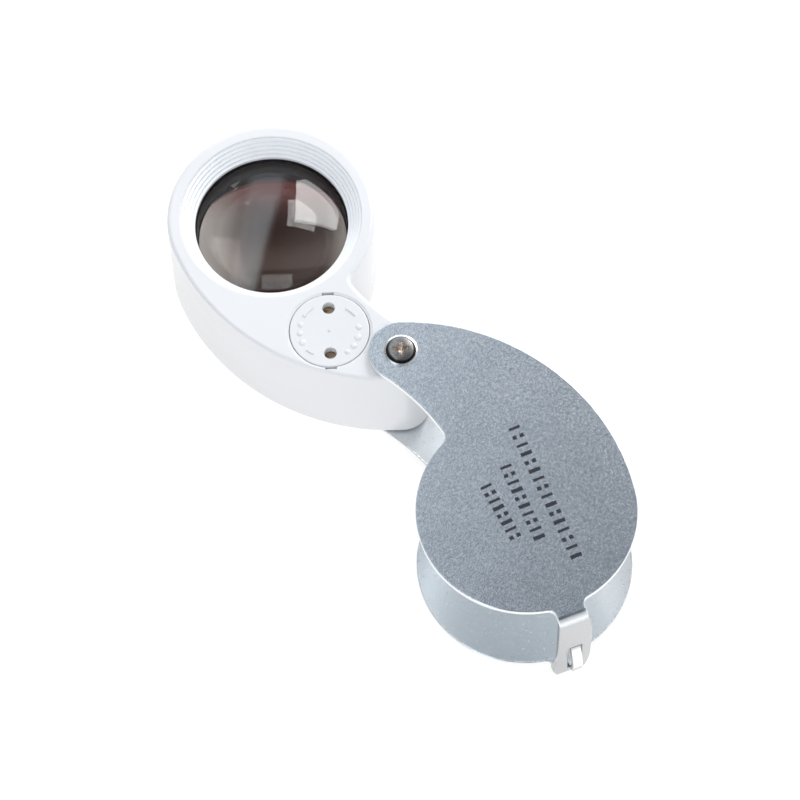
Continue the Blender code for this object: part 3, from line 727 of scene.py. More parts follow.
# ---- outlines -------------------------------------------------------------------------------
@dataclass(frozen=True)
class Turn:
    """One arc of an outline, seen from above."""

    centre: tuple[float, float]
    radius: float
    start: float
    sweep: float
    steps: int
    hollow: bool = False

    def reach(self, inset: float) -> float:
        """The arc's radius when the outline is drawn in by `inset`."""
        return self.radius + inset if self.hollow else self.radius - inset

    def points(self, inset: float, z: float) -> list[Vector]:
        """The arc's points, without its last, at one height."""
        r = self.reach(inset)
        angles = [self.start + self.sweep * i / self.steps for i in range(self.steps)]
        x, y = self.centre
        return [Vector((x + r * math.cos(a), y + r * math.sin(a), z)) for a in angles]


@dataclass(frozen=True)
class Comma:
    """A round end joined to a small neck end by a long convex side and a long hollow side.

    The round end's centre is the origin and the neck end's centre is `reach` along +Y.
    """

    round_r: float
    neck_r: float
    reach: float
    bulge_r: float
    notch_r: float
    notch_y: float
    corner_r: float = 1.9 * MM
    fine: int = 1

    def _corner(self, notch: Vector) -> Vector:
        """Centre of the small arc between the hollow side and the round end."""
        near, far = self.round_r + self.corner_r, self.notch_r - self.corner_r
        gap = notch.length
        along = (near * near - far * far + gap * gap) / (2 * gap)
        across = math.sqrt(near * near - along * along)
        unit = notch.normalized()
        side = Vector((-unit.y, unit.x))
        return max((unit * along + side * across, unit * along - side * across), key=lambda p: p.y)

    def turns(self) -> list[Turn]:
        """The outline's arcs in order, starting where the round end meets the convex side."""
        near, far = self.bulge_r - self.round_r, self.bulge_r - self.neck_r
        bulge_y = (near ** 2 - far ** 2 + self.reach ** 2) / (2 * self.reach)
        bulge = Vector((-math.sqrt(near ** 2 - bulge_y ** 2), bulge_y))
        notch_x = -math.sqrt((self.notch_r + self.neck_r) ** 2 - (self.reach - self.notch_y) ** 2)
        notch = Vector((notch_x, self.notch_y))
        corner = self._corner(notch)
        round_start = math.atan2(-bulge.y, -bulge.x)
        neck_start = math.atan2(self.reach - bulge.y, -bulge.x)
        neck_end = math.atan2(self.notch_y - self.reach, notch.x) + math.tau
        notch_end = math.atan2(corner.y - notch.y, corner.x - notch.x)
        round_angle = math.atan2(corner.y, corner.x)
        spans = (
            (bulge, self.bulge_r, round_start, neck_start, 26, False),
            (Vector((0, self.reach)), self.neck_r, neck_start, neck_end, 30, False),
            (notch, self.notch_r, neck_end - math.pi, notch_end, 14, True),
            (corner, self.corner_r, notch_end, round_angle - math.pi, 8, True),
            (Vector((0, 0)), self.round_r, round_angle, round_start + math.tau, 96, False))
        return [Turn(tuple(c), r, a, b - a, n * self.fine, hollow) for c, r, a, b, n, hollow in spans]

    def points(self, inset: float, z: float) -> list[Vector]:
        """The outline's points in order, drawn in by `inset`."""
        return [p for turn in self.turns() for p in turn.points(inset, z)]

    def stack(self, bm: BMesh, levels: Profile) -> tuple[list, list]:
        """A wall through outlines at (inset, height) levels, each extruded from the last.

        Args:
            bm: the mesh to add to.
            levels: insets and heights in order.

        Returns:
            The first and the last outline's edges.
        """
        verts = [bm.verts.new(p) for p in self.points(*levels[0])]
        first = edges = [bm.edges.new(pair) for pair in zip(verts, verts[1:] + verts[:1])]
        for level in levels[1:]:
            grown = bmesh.ops.extrude_edge_only(bm, edges=edges)["geom"]
            at = {tuple(g.co): g for g in grown if isinstance(g, bmesh.types.BMVert)}
            verts = [at[tuple(v.co)] for v in verts]
            edges = [g for g in grown if isinstance(g, bmesh.types.BMEdge) and set(g.verts) <= set(verts)]
            for vert, point in zip(verts, self.points(*level)):
                vert.co = point
        return first, edges

    def solid(self, levels: Profile) -> BMesh:
        """A closed solid with plain flat ends."""
        bm = bmesh.new()
        for loop in self.stack(bm, levels):
            bmesh.ops.edgeloop_fill(bm, edges=loop)
        return tidy(bm)


def spin_on(bm: BMesh, vert: bmesh.types.BMVert, centre: Sequence[float], sweep: float,
            steps: int) -> bmesh.types.BMVert:
    """Carry a chain of edges on from a vertex along an arc, and give its last vertex."""
    out = bmesh.ops.spin(bm, geom=[vert], cent=(*centre, vert.co.z), axis=UP, angle=sweep, steps=steps)
    return next(g for g in out["geom_last"] if isinstance(g, bmesh.types.BMVert))


def line_on(bm: BMesh, vert: bmesh.types.BMVert, point: Sequence[float]) -> bmesh.types.BMVert:
    """Carry a chain of edges on to a point, and give the new vertex."""
    made = bm.verts.new(point)
    bm.edges.new((vert, made))
    return made


# ---- placing pieces -------------------------------------------------------------------------
def put(piece: Piece, body: Body, material: bpy.types.Material, slot: str,
        *stands_for: str) -> None:
    """Dress a new piece, let it ride on its body and log it.

    Args:
        piece: the piece.
        body: the body that it moves with.
        material: its finish.
        slot: the record's slot for that finish; not used.
        stands_for: the frame's nodes that it replaces.
    """
    piece.data.materials.clear()
    piece.data.materials.append(material)
    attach(piece, body.value)
    if stands_for:
        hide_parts(*stands_for)
    LOG.info("%s rides on %s", piece.name, body.value)


def dress(name: str, material: bpy.types.Material) -> None:
    """Give one of the frame's own nodes a better finish."""
    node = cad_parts[name]
    if not node.material_slots:
        node.data.materials.append(material)
    for held in node.material_slots:
        held.material = material
    LOG.info("%s keeps its shape", name)


# ---- case -----------------------------------------------------------------------------------
CASE_REACH = 34.0 * MM
CASE = Comma(17.4 * MM, 5.2 * MM, CASE_REACH, 37.0 * MM, 37.4 * MM, 19.8 * MM)
PIVOT = (0.0, CASE_REACH)


@dataclass
class CaseSheet:
    """Two plates and the strip between them, folded from one blank, with a lanced loop."""

    strip_half: float = 2.4 * MM
    strip_out: float = 20.0 * MM
    bend_r: float = 0.8 * MM
    root_fillet: float = 1.2 * MM
    loop_low: float = 2.5 * MM
    loop_high: float = 10.6 * MM
    loop_middle: float = 0.5 * MM
    loop_width: float = 1.6 * MM
    loop_gap: float = 0.32 * MM
    loop_rise: float = 1.55 * MM
    edge: float = 0.22 * MM
    screw_hole_r: float = 1.35 * MM
    sink_r: tuple[float, float] = (2.6 * MM, 1.3 * MM)
    burr: tuple[tuple[float, float], ...] = (
        (0.10 * MM, -0.04 * MM), (0.16 * MM, 0.05 * MM), (0.26 * MM, -0.01 * MM))

    def strip_point(self, across: float, out: float, z: float) -> Vector:
        """A point across the strip and outwards from the round end's centre."""
        c, s = math.cos(STRIP_ANGLE), math.sin(STRIP_ANGLE)
        return Vector((-s * across + c * out, c * across + s * out, z))

    def across(self, point: Vector) -> float:
        """How far across the strip a point lies."""
        c, s = math.cos(STRIP_ANGLE), math.sin(STRIP_ANGLE)
        return -s * point.x + c * point.y

    def columns(self) -> list[float]:
        """Where the strip is divided across its width."""
        left, right = self.loop_middle - self.loop_width / 2, self.loop_middle + self.loop_width / 2
        return [-self.strip_half, left - self.loop_gap, left, right, right + self.loop_gap, self.strip_half]

    def half_widths(self, z: float) -> tuple[float, float]:
        """The strip's half widths on its two sides at a height."""
        right = 0.8 * MM * max(0.0, 1 - ((z - 11.0 * MM) / (9.5 * MM)) ** 4)
        left = 0.8 * MM * math.exp(-((z - 3.6 * MM) / (1.8 * MM)) ** 2)
        return self.strip_half + left, self.strip_half + right

    def plate(self, bm: BMesh, z: float) -> list[bmesh.types.BMEdge]:
        """Draw one plate with its tab and fill it.

        Returns:
            The edges at the tab's end, where the strip starts.
        """
        before = set(bm.edges)
        tab_end = self.strip_out - SHEET / 2 - self.bend_r
        half = self.strip_half + self.root_fillet
        reach = CASE.round_r + self.root_fillet
        span = math.asin(half / reach)
        root = math.sqrt(reach ** 2 - half ** 2)
        arcs = CASE.turns()
        start = last = bm.verts.new(arcs[0].points(0, z)[0])
        for turn in arcs[:-1]:
            last = spin_on(bm, last, turn.centre, turn.sweep, turn.steps)
        big = arcs[-1]
        last = spin_on(bm, last, big.centre, STRIP_ANGLE - span - big.start, 52)
        last = spin_on(bm, last, self.strip_point(-half, root, z).xy, -math.acos(half / reach), 8)
        for s in self.columns():
            last = line_on(bm, last, self.strip_point(s, tab_end, z))
        last = line_on(bm, last, self.strip_point(self.strip_half, root, z))
        last = spin_on(bm, last, self.strip_point(half, root, z).xy, -math.acos(half / reach), 8)
        rest = big.start + big.sweep - STRIP_ANGLE - span
        last = spin_on(bm, last, big.centre, rest, 36)
        bmesh.ops.pointmerge(bm, verts=[start, last], merge_co=start.co)
        loop = [e for e in bm.edges if e not in before]
        bmesh.ops.edgeloop_fill(bm, edges=loop)
        return [e for e in loop if all(abs(self.out(v.co) - tab_end) < 0.01 * MM for v in e.verts)]

    def out(self, point: Vector) -> float:
        """How far outwards along the strip's direction a point lies."""
        return math.cos(STRIP_ANGLE) * point.x + math.sin(STRIP_ANGLE) * point.y

    def rows(self) -> list[tuple[float, float]]:
        """(out, height) of each line across the strip, from the lower tab to the upper."""
        middle = SHEET / 2
        line = self.strip_out - middle
        bend = [(line - self.bend_r * (1 - math.sin(a)), middle + self.bend_r * (1 - math.cos(a)))
                for a in (math.pi / 2 * i / 7 for i in range(1, 8))]
        heights = [1.9 * MM, self.loop_low]
        heights += [self.loop_low + (self.loop_high - self.loop_low) * i / 18 for i in range(1, 19)]
        heights += [z * MM for z in (11.6, 13, 14.5, 16, 17.5, 19, 20.2)]
        upper = [(out, CASE_HEIGHT - z) for out, z in reversed(bend)]
        return bend + [(line, z) for z in heights] + upper

    def bow(self, z: float) -> float:
        """How far the loop stands out of the strip at a height: most of it low down."""
        u = (z - self.loop_low) / (self.loop_high - self.loop_low)
        if not 0 < u < 1:
            return 0.0
        lift = math.sin(math.pi * u ** 0.72)
        return self.loop_rise * max(0.0, lift) ** 0.85

    def build_sheet(self) -> Piece:
        """Fold the sheet's middle surface, lance the loop and give it its thickness."""
        bm = bmesh.new()
        edges = self.plate(bm, SHEET / 2)
        top_edges = self.plate(bm, CASE_HEIGHT - SHEET / 2)
        slits = []
        for out, z in self.rows():
            grown = bmesh.ops.extrude_edge_only(bm, edges=edges)["geom"]
            verts = [g for g in grown if isinstance(g, bmesh.types.BMVert)]
            verts.sort(key=lambda v: self.across(v.co))
            left, right = self.half_widths(z)
            places = [-left, *self.columns()[1:-1], right]
            for i, (vert, s) in enumerate(zip(verts, places)):
                vert.co = self.strip_point(s, out + (self.bow(z) if i in (2, 3) else 0.0), z)
            chosen = set(verts)
            edges = [e for e in bm.edges if e.verts[0] in chosen and e.verts[1] in chosen]
            if self.loop_low < z <= self.loop_high + 0.001 * MM:
                slits += [f for f in grown if isinstance(f, bmesh.types.BMFace) and self.in_slit(f)]
        bmesh.ops.bridge_loops(bm, edges=edges + top_edges)
        bmesh.ops.delete(bm, geom=slits, context="FACES")
        bmesh.ops.recalc_face_normals(bm, faces=bm.faces)
        sheet = new_piece("case_sheet", bm)
        mod = sheet.modifiers.new("sheet", "SOLIDIFY")
        mod.thickness = SHEET
        mod.offset = 0
        mod.use_even_offset = True
        settle(sheet)
        carve(sheet, [
            cylinder(self.screw_hole_r, CASE_HEIGHT - 2 * SHEET, CASE_HEIGHT + 2 * SHEET, PIVOT),
            cylinder(self.sink_r[0], -0.5 * MM, SHEET + 0.15 * MM, PIVOT, top=self.sink_r[1]),
            cylinder(self.screw_hole_r, -SHEET, 2 * SHEET, PIVOT)])
        soften(sheet, self.edge)
        settle(sheet)
        even_normals(sheet)
        return sheet

    def in_slit(self, face: bmesh.types.BMFace) -> bool:
        """True for the faces between the loop and the rest of the strip."""
        s = self.across(face.calc_center_median())
        columns = self.columns()
        return columns[1] < s < columns[2] or columns[3] < s < columns[4]

    def build_burr(self) -> Piece:
        """The ragged edge that blanking leaves on the lower plate's inner face."""
        bm = bmesh.new()
        levels = [(inset, SHEET + rise) for inset, rise in self.burr]
        replace(CASE, fine=5).stack(bm, [*levels, levels[0]])
        tidy(bm)
        for vert in bm.verts:
            ragged = noise.noise(vert.co * (1 / (0.5 * MM)))
            if vert.co.z > SHEET:
                vert.co.z = SHEET + (0.04 + 0.2 * max(0.0, ragged)) * MM
        return new_piece("sheet_burr", bm, 80)

    def build(self) -> None:
        """Make the sheet and its burr."""
        satin = SatinSheet("satin_sheet").build()
        torn = PlatedMetal("burr_metal", (0.86, 0.87, 0.88), (0.5, 0.5, 0.5), 0.25).build()
        put(self.build_sheet(), Body.CASE, satin, "satin_silver", "case_shell")
        put(self.build_burr(), Body.CASE, torn, "satin_silver")


class MarkRow(NamedTuple):
    """A row of printed marks, from one end to the other."""

    start: tuple[float, float]
    end: tuple[float, float]
    count: int


@dataclass
class PrintedMarks:
    """Rows of plain printed strokes on the upper plate, such as a gauge has."""

    thickness: float = 0.02 * MM
    rows: tuple[MarkRow, ...] = (
        MarkRow((6.82 * MM, 13.27 * MM), (1.45 * MM, -11.59 * MM), 16),
        MarkRow((1.82 * MM, 8.52 * MM), (-1.33 * MM, -5.65 * MM), 10),
        MarkRow((-2.75 * MM, 7.55 * MM), (-4.27 * MM, -3.34 * MM), 8))
    tall: float = 1.9 * MM
    wide: float = 0.66 * MM
    stroke: float = 0.45 * MM

    def build(self) -> None:
        """Raise every stroke from the plate and join them into one piece."""
        bm = bmesh.new()
        for row in self.rows:
            start, end = Vector(row.start), Vector(row.end)
            turn = math.atan2(end.y - start.y, end.x - start.x)
            for i in range(row.count):
                self.mark(bm, start.lerp(end, (i + 0.5) / row.count), turn, i)
        piece = new_piece("printed_marks", bm, 30)
        put(piece, Body.CASE, PrintedInk().build(), "black_plastic")

    def mark(self, bm: BMesh, where: Vector, turn: float, index: int) -> None:
        """Add one mark: a heavy stroke, or a pair of short blocks on every third."""
        z = CASE_HEIGHT + self.thickness / 2 - 0.002 * MM
        if index % 3 == 1:
            short = 0.36 * self.tall
            size = (self.wide, short, self.thickness)
            places = [side * (self.tall - short) / 2 for side in (-1, 1)]
        else:
            size = (self.wide if index % 2 else self.stroke, self.tall, self.thickness)
            places = [0]
        for place in places:
            part = block(size, (0, place, 0))
            moved(part, Matrix.Translation((where.x, where.y, z)) @ Matrix.Rotation(turn, 4, "Z"))
            join_mesh(bm, part)


def join_mesh(bm: BMesh, other: BMesh) -> None:
    """Copy another bmesh into this one and free it."""
    mesh = bpy.data.meshes.new("join")
    other.to_mesh(mesh)
    other.free()
    bm.from_mesh(mesh)
    bpy.data.meshes.remove(mesh)


# ---- pivot ----------------------------------------------------------------------------------
@dataclass
class PivotHardware:
    """The pan-head screw, its washer, the tube and the screw from below."""

    seat: float = 22.05 * MM
    washer_r: float = 2.75 * MM
    head_r: float = 2.22 * MM
    head_top: float = 22.85 * MM
    shank_r: float = 1.1 * MM
    cross_turn: float = -0.59

    def washer(self) -> Piece:
        """A thin washer with rounded edges."""
        hole, low, high = self.shank_r + 0.25 * MM, self.seat, self.seat + 0.2 * MM
        soft = 0.06 * MM
        points = [(hole, low), (self.washer_r - soft, low), (self.washer_r, low + soft),
                  (self.washer_r, high - soft), (self.washer_r - soft, high), (hole, high)]
        return new_piece("pivot_washer", ring(points, PIVOT), 50)

    def screw(self) -> Piece:
        """The upper screw: a flat head with a chamfered edge and a tapered cross recess."""
        low, top = self.seat + 0.23 * MM, self.head_top
        head, soft = self.head_r, 0.05 * MM
        points = [(0, top), (1.92 * MM, top), (1.98 * MM, top - 0.02 * MM), (head - soft, top - 0.2 * MM),
                  (head, top - 0.27 * MM), (head, low + soft), (head - soft, low),
                  (self.shank_r, low), (self.shank_r, 12 * MM), (0.8 * MM, 11.5 * MM), (0, 11.4 * MM)]
        piece = new_piece("pivot_screw", turned(points, PIVOT), 30)
        carve(piece, [self.wing(self.cross_turn), self.wing(self.cross_turn + math.pi / 2), self.well()])
        even_normals(piece)
        return piece

    def wing(self, turn: float) -> BMesh:
        """One bar of the cross recess, narrower and shorter at its foot."""
        bm = bmesh.new()
        bmesh.ops.create_cube(bm, size=1.0)
        bmesh.ops.scale(bm, verts=bm.verts, vec=(3.0 * MM, 0.66 * MM, 1.0 * MM))
        foot = [v for v in bm.verts if v.co.z < 0]
        bmesh.ops.scale(bm, verts=foot, vec=(0.3, 0.55, 1.0))
        bmesh.ops.translate(bm, verts=bm.verts, vec=(0, 0, self.head_top - 0.25 * MM))
        return moved(bm, Matrix.Translation((*PIVOT, 0)) @ Matrix.Rotation(turn, 4, "Z"))

    def well(self) -> BMesh:
        """The conical middle of the cross recess."""
        foot, over = self.head_top - 0.75 * MM, self.head_top + 0.4 * MM
        return cylinder(0.2 * MM, foot, over, PIVOT, 24, top=0.95 * MM)

    def lower_screw(self) -> Piece:
        """The countersunk slotted screw in the lower plate."""
        points = [(0, 9 * MM), (0.7 * MM, 8.9 * MM), (self.shank_r, 8.4 * MM), (self.shank_r, 1.1 * MM),
                  (2.08 * MM, 0.16 * MM), (2.02 * MM, 0.1 * MM), (0, 0.1 * MM)]
        piece = new_piece("pivot_screw_lower", turned(points, PIVOT), 30)
        carve(piece, [block((5 * MM, 0.5 * MM, 0.9 * MM), (*PIVOT, 0), 0.6)])
        even_normals(piece)
        return piece

    def build(self) -> None:
        """Make the screws and the washer, and dress the tube and the friction washers."""
        steel = RecessedSteel("dark_screw", PIVOT, self.head_top).build()
        dark, bright = (0.03, 0.028, 0.026), (0.86, 0.86, 0.86)
        nickel = PlatedMetal("bright_nickel_skin", (0.82, 0.82, 0.82), (0.60, 0.58, 0.55), 0.14).build()
        bronze = PlatedMetal("spring_bronze_skin", (0.62, 0.42, 0.22), (0.34, 0.22, 0.12), 0.3).build()
        # the washer: dark inside 2.43 mm as a painted shadow ring round the screw head, bright nickel outside
        shadow_ring_nickel = RecessedSteel("nickel_painted_shadow_ring", PIVOT, self.seat, dark, bright, dark, 2.43 * MM).build()
        put(self.washer(), Body.CASE, shadow_ring_nickel, "bright_nickel", "pivot_head_washer")
        put(self.screw(), Body.CASE, steel, "gunmetal", "pivot_screw_top")
        put(self.lower_screw(), Body.CASE, steel, "gunmetal", "pivot_screw_bottom")
        dress("pivot_tube", nickel)
        dress("friction_washer_lower", bronze)
        dress("friction_washer_upper", bronze)


# ---- lens unit ------------------------------------------------------------------------------
OPEN_ANGLE = math.radians(175.2)
UNIT = Matrix.Translation((*PIVOT, 0)) @ Matrix.Rotation(-OPEN_ANGLE, 4, "Z")
UNIT_REACH = 32.85 * MM                     # pivot to the middle of the lens
LENS_AT = (0.0, -UNIT_REACH)
CELL_AT = (6.0 * MM, -10.7 * MM)
SHIFT = Matrix.Translation((*LENS_AT, 0))
HOUSING = Comma(16.9 * MM, 4.5 * MM, UNIT_REACH, 38.0 * MM, 37.4 * MM, 19.0 * MM)


def round_the_lens(radius: float, degrees: float) -> tuple[float, float]:
    """A place at an angle from the lens unit's +X, about the middle of the lens."""
    angle = math.radians(degrees)
    return LENS_AT[0] + radius * math.cos(angle), LENS_AT[1] + radius * math.sin(angle)


SCREW_PLACES = (round_the_lens(14.2 * MM, 215), round_the_lens(14.2 * MM, -35), (5.4 * MM, -3.2 * MM))
LED_PLACES = (round_the_lens(13.9 * MM, 115), round_the_lens(13.9 * MM, 65))


@dataclass
class LensHousing:
    """The white moulded body: stepped mouth, seat for the cover, and its floor."""

    low: float = HOUSING_LOW
    top: float = HOUSING_TOP
    wall: float = 1.4 * MM
    edge: float = 0.7 * MM
    mouth_r: float = 14.73 * MM
    lip_r: float = 12.5 * MM
    mouth_depth: float = 2.85 * MM
    steps: int = 5
    lip_depth: float = 3.5 * MM
    chamber_r: float = 15.44 * MM
    rim_r: float = 6.9 * MM
    seat_r: float = 6.52 * MM
    seat_low: float = 19.28 * MM
    neck_high: float = 6.0 * MM
    well_r: float = 6.1 * MM
    well_low: float = 7.2 * MM
    groove_r: float = 6.97 * MM
    groove: tuple[float, float] = (18.4 * MM, 19.35 * MM)
    entry: tuple[float, float, float] = (13.7 * MM, 1.9 * MM, 3.0 * MM)
    entry_at: float = 20.07 * MM
    bore_r: float = 2.1 * MM
    washer_r: float = 3.72 * MM
    washer_sink: float = 0.5 * MM
    floor_high: float = 2.7 * MM
    eye_r: float = 11.6 * MM

    def mouth(self) -> Profile:
        """Profile of the stepped mouth, from the top face to a blind floor."""
        soft = 0.07 * MM
        tread = (self.mouth_r - self.lip_r) / self.steps
        drop = self.mouth_depth / self.steps
        points = [(self.mouth_r + 0.3 * MM, self.top), (self.mouth_r + soft, self.top)]
        for i in range(self.steps):
            r, z = self.mouth_r - tread * i, self.top - drop * i
            points += [(r + 0.3 * soft, z - 0.3 * soft), (r, z - soft), (r, z - drop + 0.3 * soft),
                       (r - 0.3 * soft, z - drop), (r - tread + soft, z - drop)]
        blind = self.top - self.lip_depth - 0.3 * MM
        return [*points, (self.lip_r, self.top - self.mouth_depth - soft), (self.lip_r, blind), (0, blind)]

    def seat(self) -> Profile:
        """Profile of the cover's seat, as a cutter: a chamfered rim and a flat floor."""
        soft, over = 0.05 * MM, self.top + 1 * MM
        rim, foot = self.rim_r + soft, self.top - 0.3 * (self.rim_r - self.seat_r)
        return [(0, over), (rim, over), (rim, self.top), (self.rim_r, self.top - soft),
                (self.seat_r + soft, foot), (self.seat_r, foot - soft), (self.seat_r, self.seat_low),
                (0, self.seat_low)]

    def cutters(self) -> list[BMesh]:
        """The hollows below: lens chamber, neck space, battery well, bayonet and pivot bore."""
        below = self.low - 1 * MM
        inset = self.wall + 0.02 * MM
        over = self.top + 9.3 * MM
        neck = HOUSING.solid([(inset, below), (inset, self.neck_high)])
        return [
            cylinder(self.chamber_r, below, self.top - self.lip_depth, LENS_AT, 96),
            moved(neck, SHIFT),
            turned(self.seat(), CELL_AT),
            cylinder(self.well_r, self.well_low, self.seat_low + 0.3 * MM, CELL_AT, 64),
            cylinder(self.groove_r, *self.groove, CELL_AT, 64),
            block(self.entry, (*CELL_AT, self.entry_at), SPANNER_ANGLE),
            cylinder(self.bore_r, below, over),
            cylinder(self.washer_r, self.top - self.washer_sink, over),
            cylinder(self.washer_r, below, self.low + self.washer_sink)]

    def shell(self) -> Piece:
        """The body: a rounded wall, a top face with its two mouths, then the hollows."""
        bm = bmesh.new()
        flat = self.edge + 0.25 * MM
        levels = [(flat, self.low), *fillet(0, self.low, self.edge, False, 8),
                  *fillet(0, self.top, self.edge, True, 8), (flat, self.top)]
        bottom, top = HOUSING.stack(bm, levels)
        bmesh.ops.edgeloop_fill(bm, edges=bottom)
        moved(bm, SHIFT)
        spin_profile(bm, self.mouth(), LENS_AT, 128)
        bmesh.ops.remove_doubles(bm, verts=bm.verts, dist=MERGE)
        rims = [e for e in bm.edges if e.is_boundary]
        bmesh.ops.triangle_fill(bm, edges=rims, use_beauty=True, normal=UP)
        bmesh.ops.recalc_face_normals(bm, faces=bm.faces)
        piece = new_piece("housing_shell", bm, 25)
        carve(piece, self.cutters())
        piece.data.transform(UNIT)
        even_normals(piece)
        return piece

    def floor(self) -> Piece:
        """The floor plate, with the eye hole and its screw sinks."""
        inset = self.wall + 0.12 * MM
        soft = 0.15 * MM
        levels = [*fillet(inset, self.low, soft, False, 3), *fillet(inset, self.floor_high, soft, True, 3)]
        piece = new_piece("housing_floor", moved(HOUSING.solid(levels), SHIFT))
        below, above, flare = self.low - 1 * MM, self.floor_high + 1 * MM, 0.4 * MM
        cuts = [
            cylinder(self.eye_r, below, above, LENS_AT, 128),
            cylinder(self.eye_r + flare, self.low - flare, self.low + flare, LENS_AT, 128,
                     top=self.eye_r - flare),
            cylinder(self.bore_r, below, above),
            cylinder(self.washer_r, below, self.low + self.washer_sink)]
        cuts += [cylinder(1.62 * MM, below, above, at, 40) for at in LED_PLACES]
        for at in SCREW_PLACES:
            cuts += [cylinder(1.65 * MM, below, self.low + 1.1 * MM, at, 32, top=0.85 * MM),
                     cylinder(0.85 * MM, below, above, at, 24)]
        carve(piece, cuts)
        piece.data.transform(UNIT)
        even_normals(piece)
        return piece

    def build(self) -> None:
        """Make the shell and the floor, and dress the three screws."""
        middle = UNIT @ Vector((*LENS_AT, 0))
        # the housing's stepped mouth is painted a paler white as painted light
        gloss = MouldedWhite("gloss_white", mouth_at=(middle.x, middle.y), mouth_r=14.95 * MM).build()
        dull = MouldedWhite("floor_white", (0.87, 0.875, 0.88), (0.84, 0.845, 0.85), 0.4, 0.5 * MM,
                            0.012 * MM).build()
        put(self.shell(), Body.LENS_UNIT, gloss, "white_abs", "lens_housing")
        put(self.floor(), Body.LENS_UNIT, dull, "white_abs", "housing_base")
        steel = PlatedMetal("floor_screw", (0.30, 0.29, 0.28), (0.14, 0.12, 0.10), 0.26).build()
        for i in (1, 2, 3):
            dress(f"base_screw_{i}", steel)


@dataclass
class Optics:
    """A domed front lens over a stronger rear lens, their barrel and the ring between them."""

    radius: float = 12.9 * MM
    front_r: float = 31.0 * MM
    front_thick: float = 1.1 * MM
    edge_high: float = 16.75 * MM
    rear_r: float = 19.5 * MM
    rear_apex: float = 17.2 * MM
    rear_flat: float = 11.7 * MM
    lip: float = 12.4 * MM
    gap_r: float = 12.15 * MM
    rings: int = 24
    barrel_top: float = 17.12 * MM
    barrel_r: float = 14.3 * MM
    seat_low: float = 11.6 * MM
    collar_low: float = 11.0 * MM
    skirt_r: float = 12.2 * MM
    skirt_low: float = 2.82 * MM
    eye_r: float = 11.6 * MM
    grooves: int = 14
    pitch: float = 0.6 * MM
    # the turn of the rear lens's painted light and shade about its middle
    painted_light_side: float = math.radians(146.2)

    def front_z(self, r: float, inset: float = 0.0) -> float:
        """Height of the front lens's dome, or of a surface `inset` below it, at a radius."""
        base = self.edge_high - math.sqrt(self.front_r ** 2 - self.radius ** 2)
        return base + math.sqrt((self.front_r - inset) ** 2 - r ** 2)

    def rear_z(self, r: float) -> float:
        """Height of the rear lens's dome at a radius."""
        return self.rear_apex - self.rear_r + math.sqrt(self.rear_r ** 2 - r ** 2)

    def lens(self, name: str, upper: Profile, lower: Profile) -> Piece:
        """Turn a lens from its upper and its lower face, both run from the middle outwards."""
        points = [*upper, *reversed(lower)]
        piece = new_piece(name, moved(turned(points, LENS_AT, 128), UNIT), 25)
        even_normals(piece)
        return piece

    def barrel(self) -> Piece:
        """The black barrel, its lip over the lens and light-trap grooves in its skirt."""
        top, eye, seat = self.barrel_top, self.eye_r, self.radius + 0.12 * MM
        inner = []
        for i in range(self.grooves):
            z = self.skirt_low + 0.08 * MM + self.pitch * i
            inner += [(eye, z), (eye + 0.16 * MM, z + self.pitch / 2)]
        points = [(self.barrel_r, top), (self.barrel_r, self.collar_low), (self.skirt_r, self.collar_low),
                  (self.skirt_r, self.skirt_low), *inner, (eye, self.seat_low), (seat, self.seat_low),
                  (seat, self.edge_high + 0.06 * MM), (self.lip, self.front_z(self.lip) + 0.03 * MM),
                  (self.lip, top - 0.04 * MM), (self.lip + 0.06 * MM, top)]
        return new_piece("black_barrel", moved(ring(points, LENS_AT, 128), UNIT), 20)

    def spacer(self) -> Piece:
        """The black ring that holds the two lenses apart."""
        slack = 0.06 * MM
        points = [(self.radius, self.front_z(self.radius, self.front_thick) - slack),
                  (self.radius, self.rear_z(self.radius) + slack),
                  (self.gap_r, self.rear_z(self.gap_r) + slack),
                  (self.gap_r, self.front_z(self.gap_r, self.front_thick) - slack)]
        return new_piece("retaining_ring", moved(ring(points, LENS_AT, 128), UNIT), 30)

    def build(self) -> None:
        """Make the two lenses, the barrel and the ring."""
        black = DarkMoulding("barrel_black").build()
        radii = [self.radius * i / self.rings for i in range(self.rings + 1)]
        front = self.lens("front_lens", [(r, self.front_z(r)) for r in radii],
                          [(r, self.front_z(r, self.front_thick)) for r in radii])
        rear = self.lens("rear_lens", [(r, self.rear_z(r)) for r in radii],
                         [(0, self.rear_flat), (self.radius, self.rear_flat)])
        middle = UNIT @ Vector((*LENS_AT, 0))
        # the rear lens's colour carries painted shadow, light and reflection
        coated = ShadePaintedGlass("glass_painted_shade", (middle.x, middle.y), self.painted_light_side)
        put(front, Body.LENS_UNIT, PolishedGlass().build(), "lens_glass", "lens")
        put(rear, Body.LENS_UNIT, coated.build(), "lens_glass")
        put(self.barrel(), Body.LENS_UNIT, black, "black_plastic", "lens_barrel")
        put(self.spacer(), Body.LENS_UNIT, black, "black_plastic", "lens_retaining_ring")


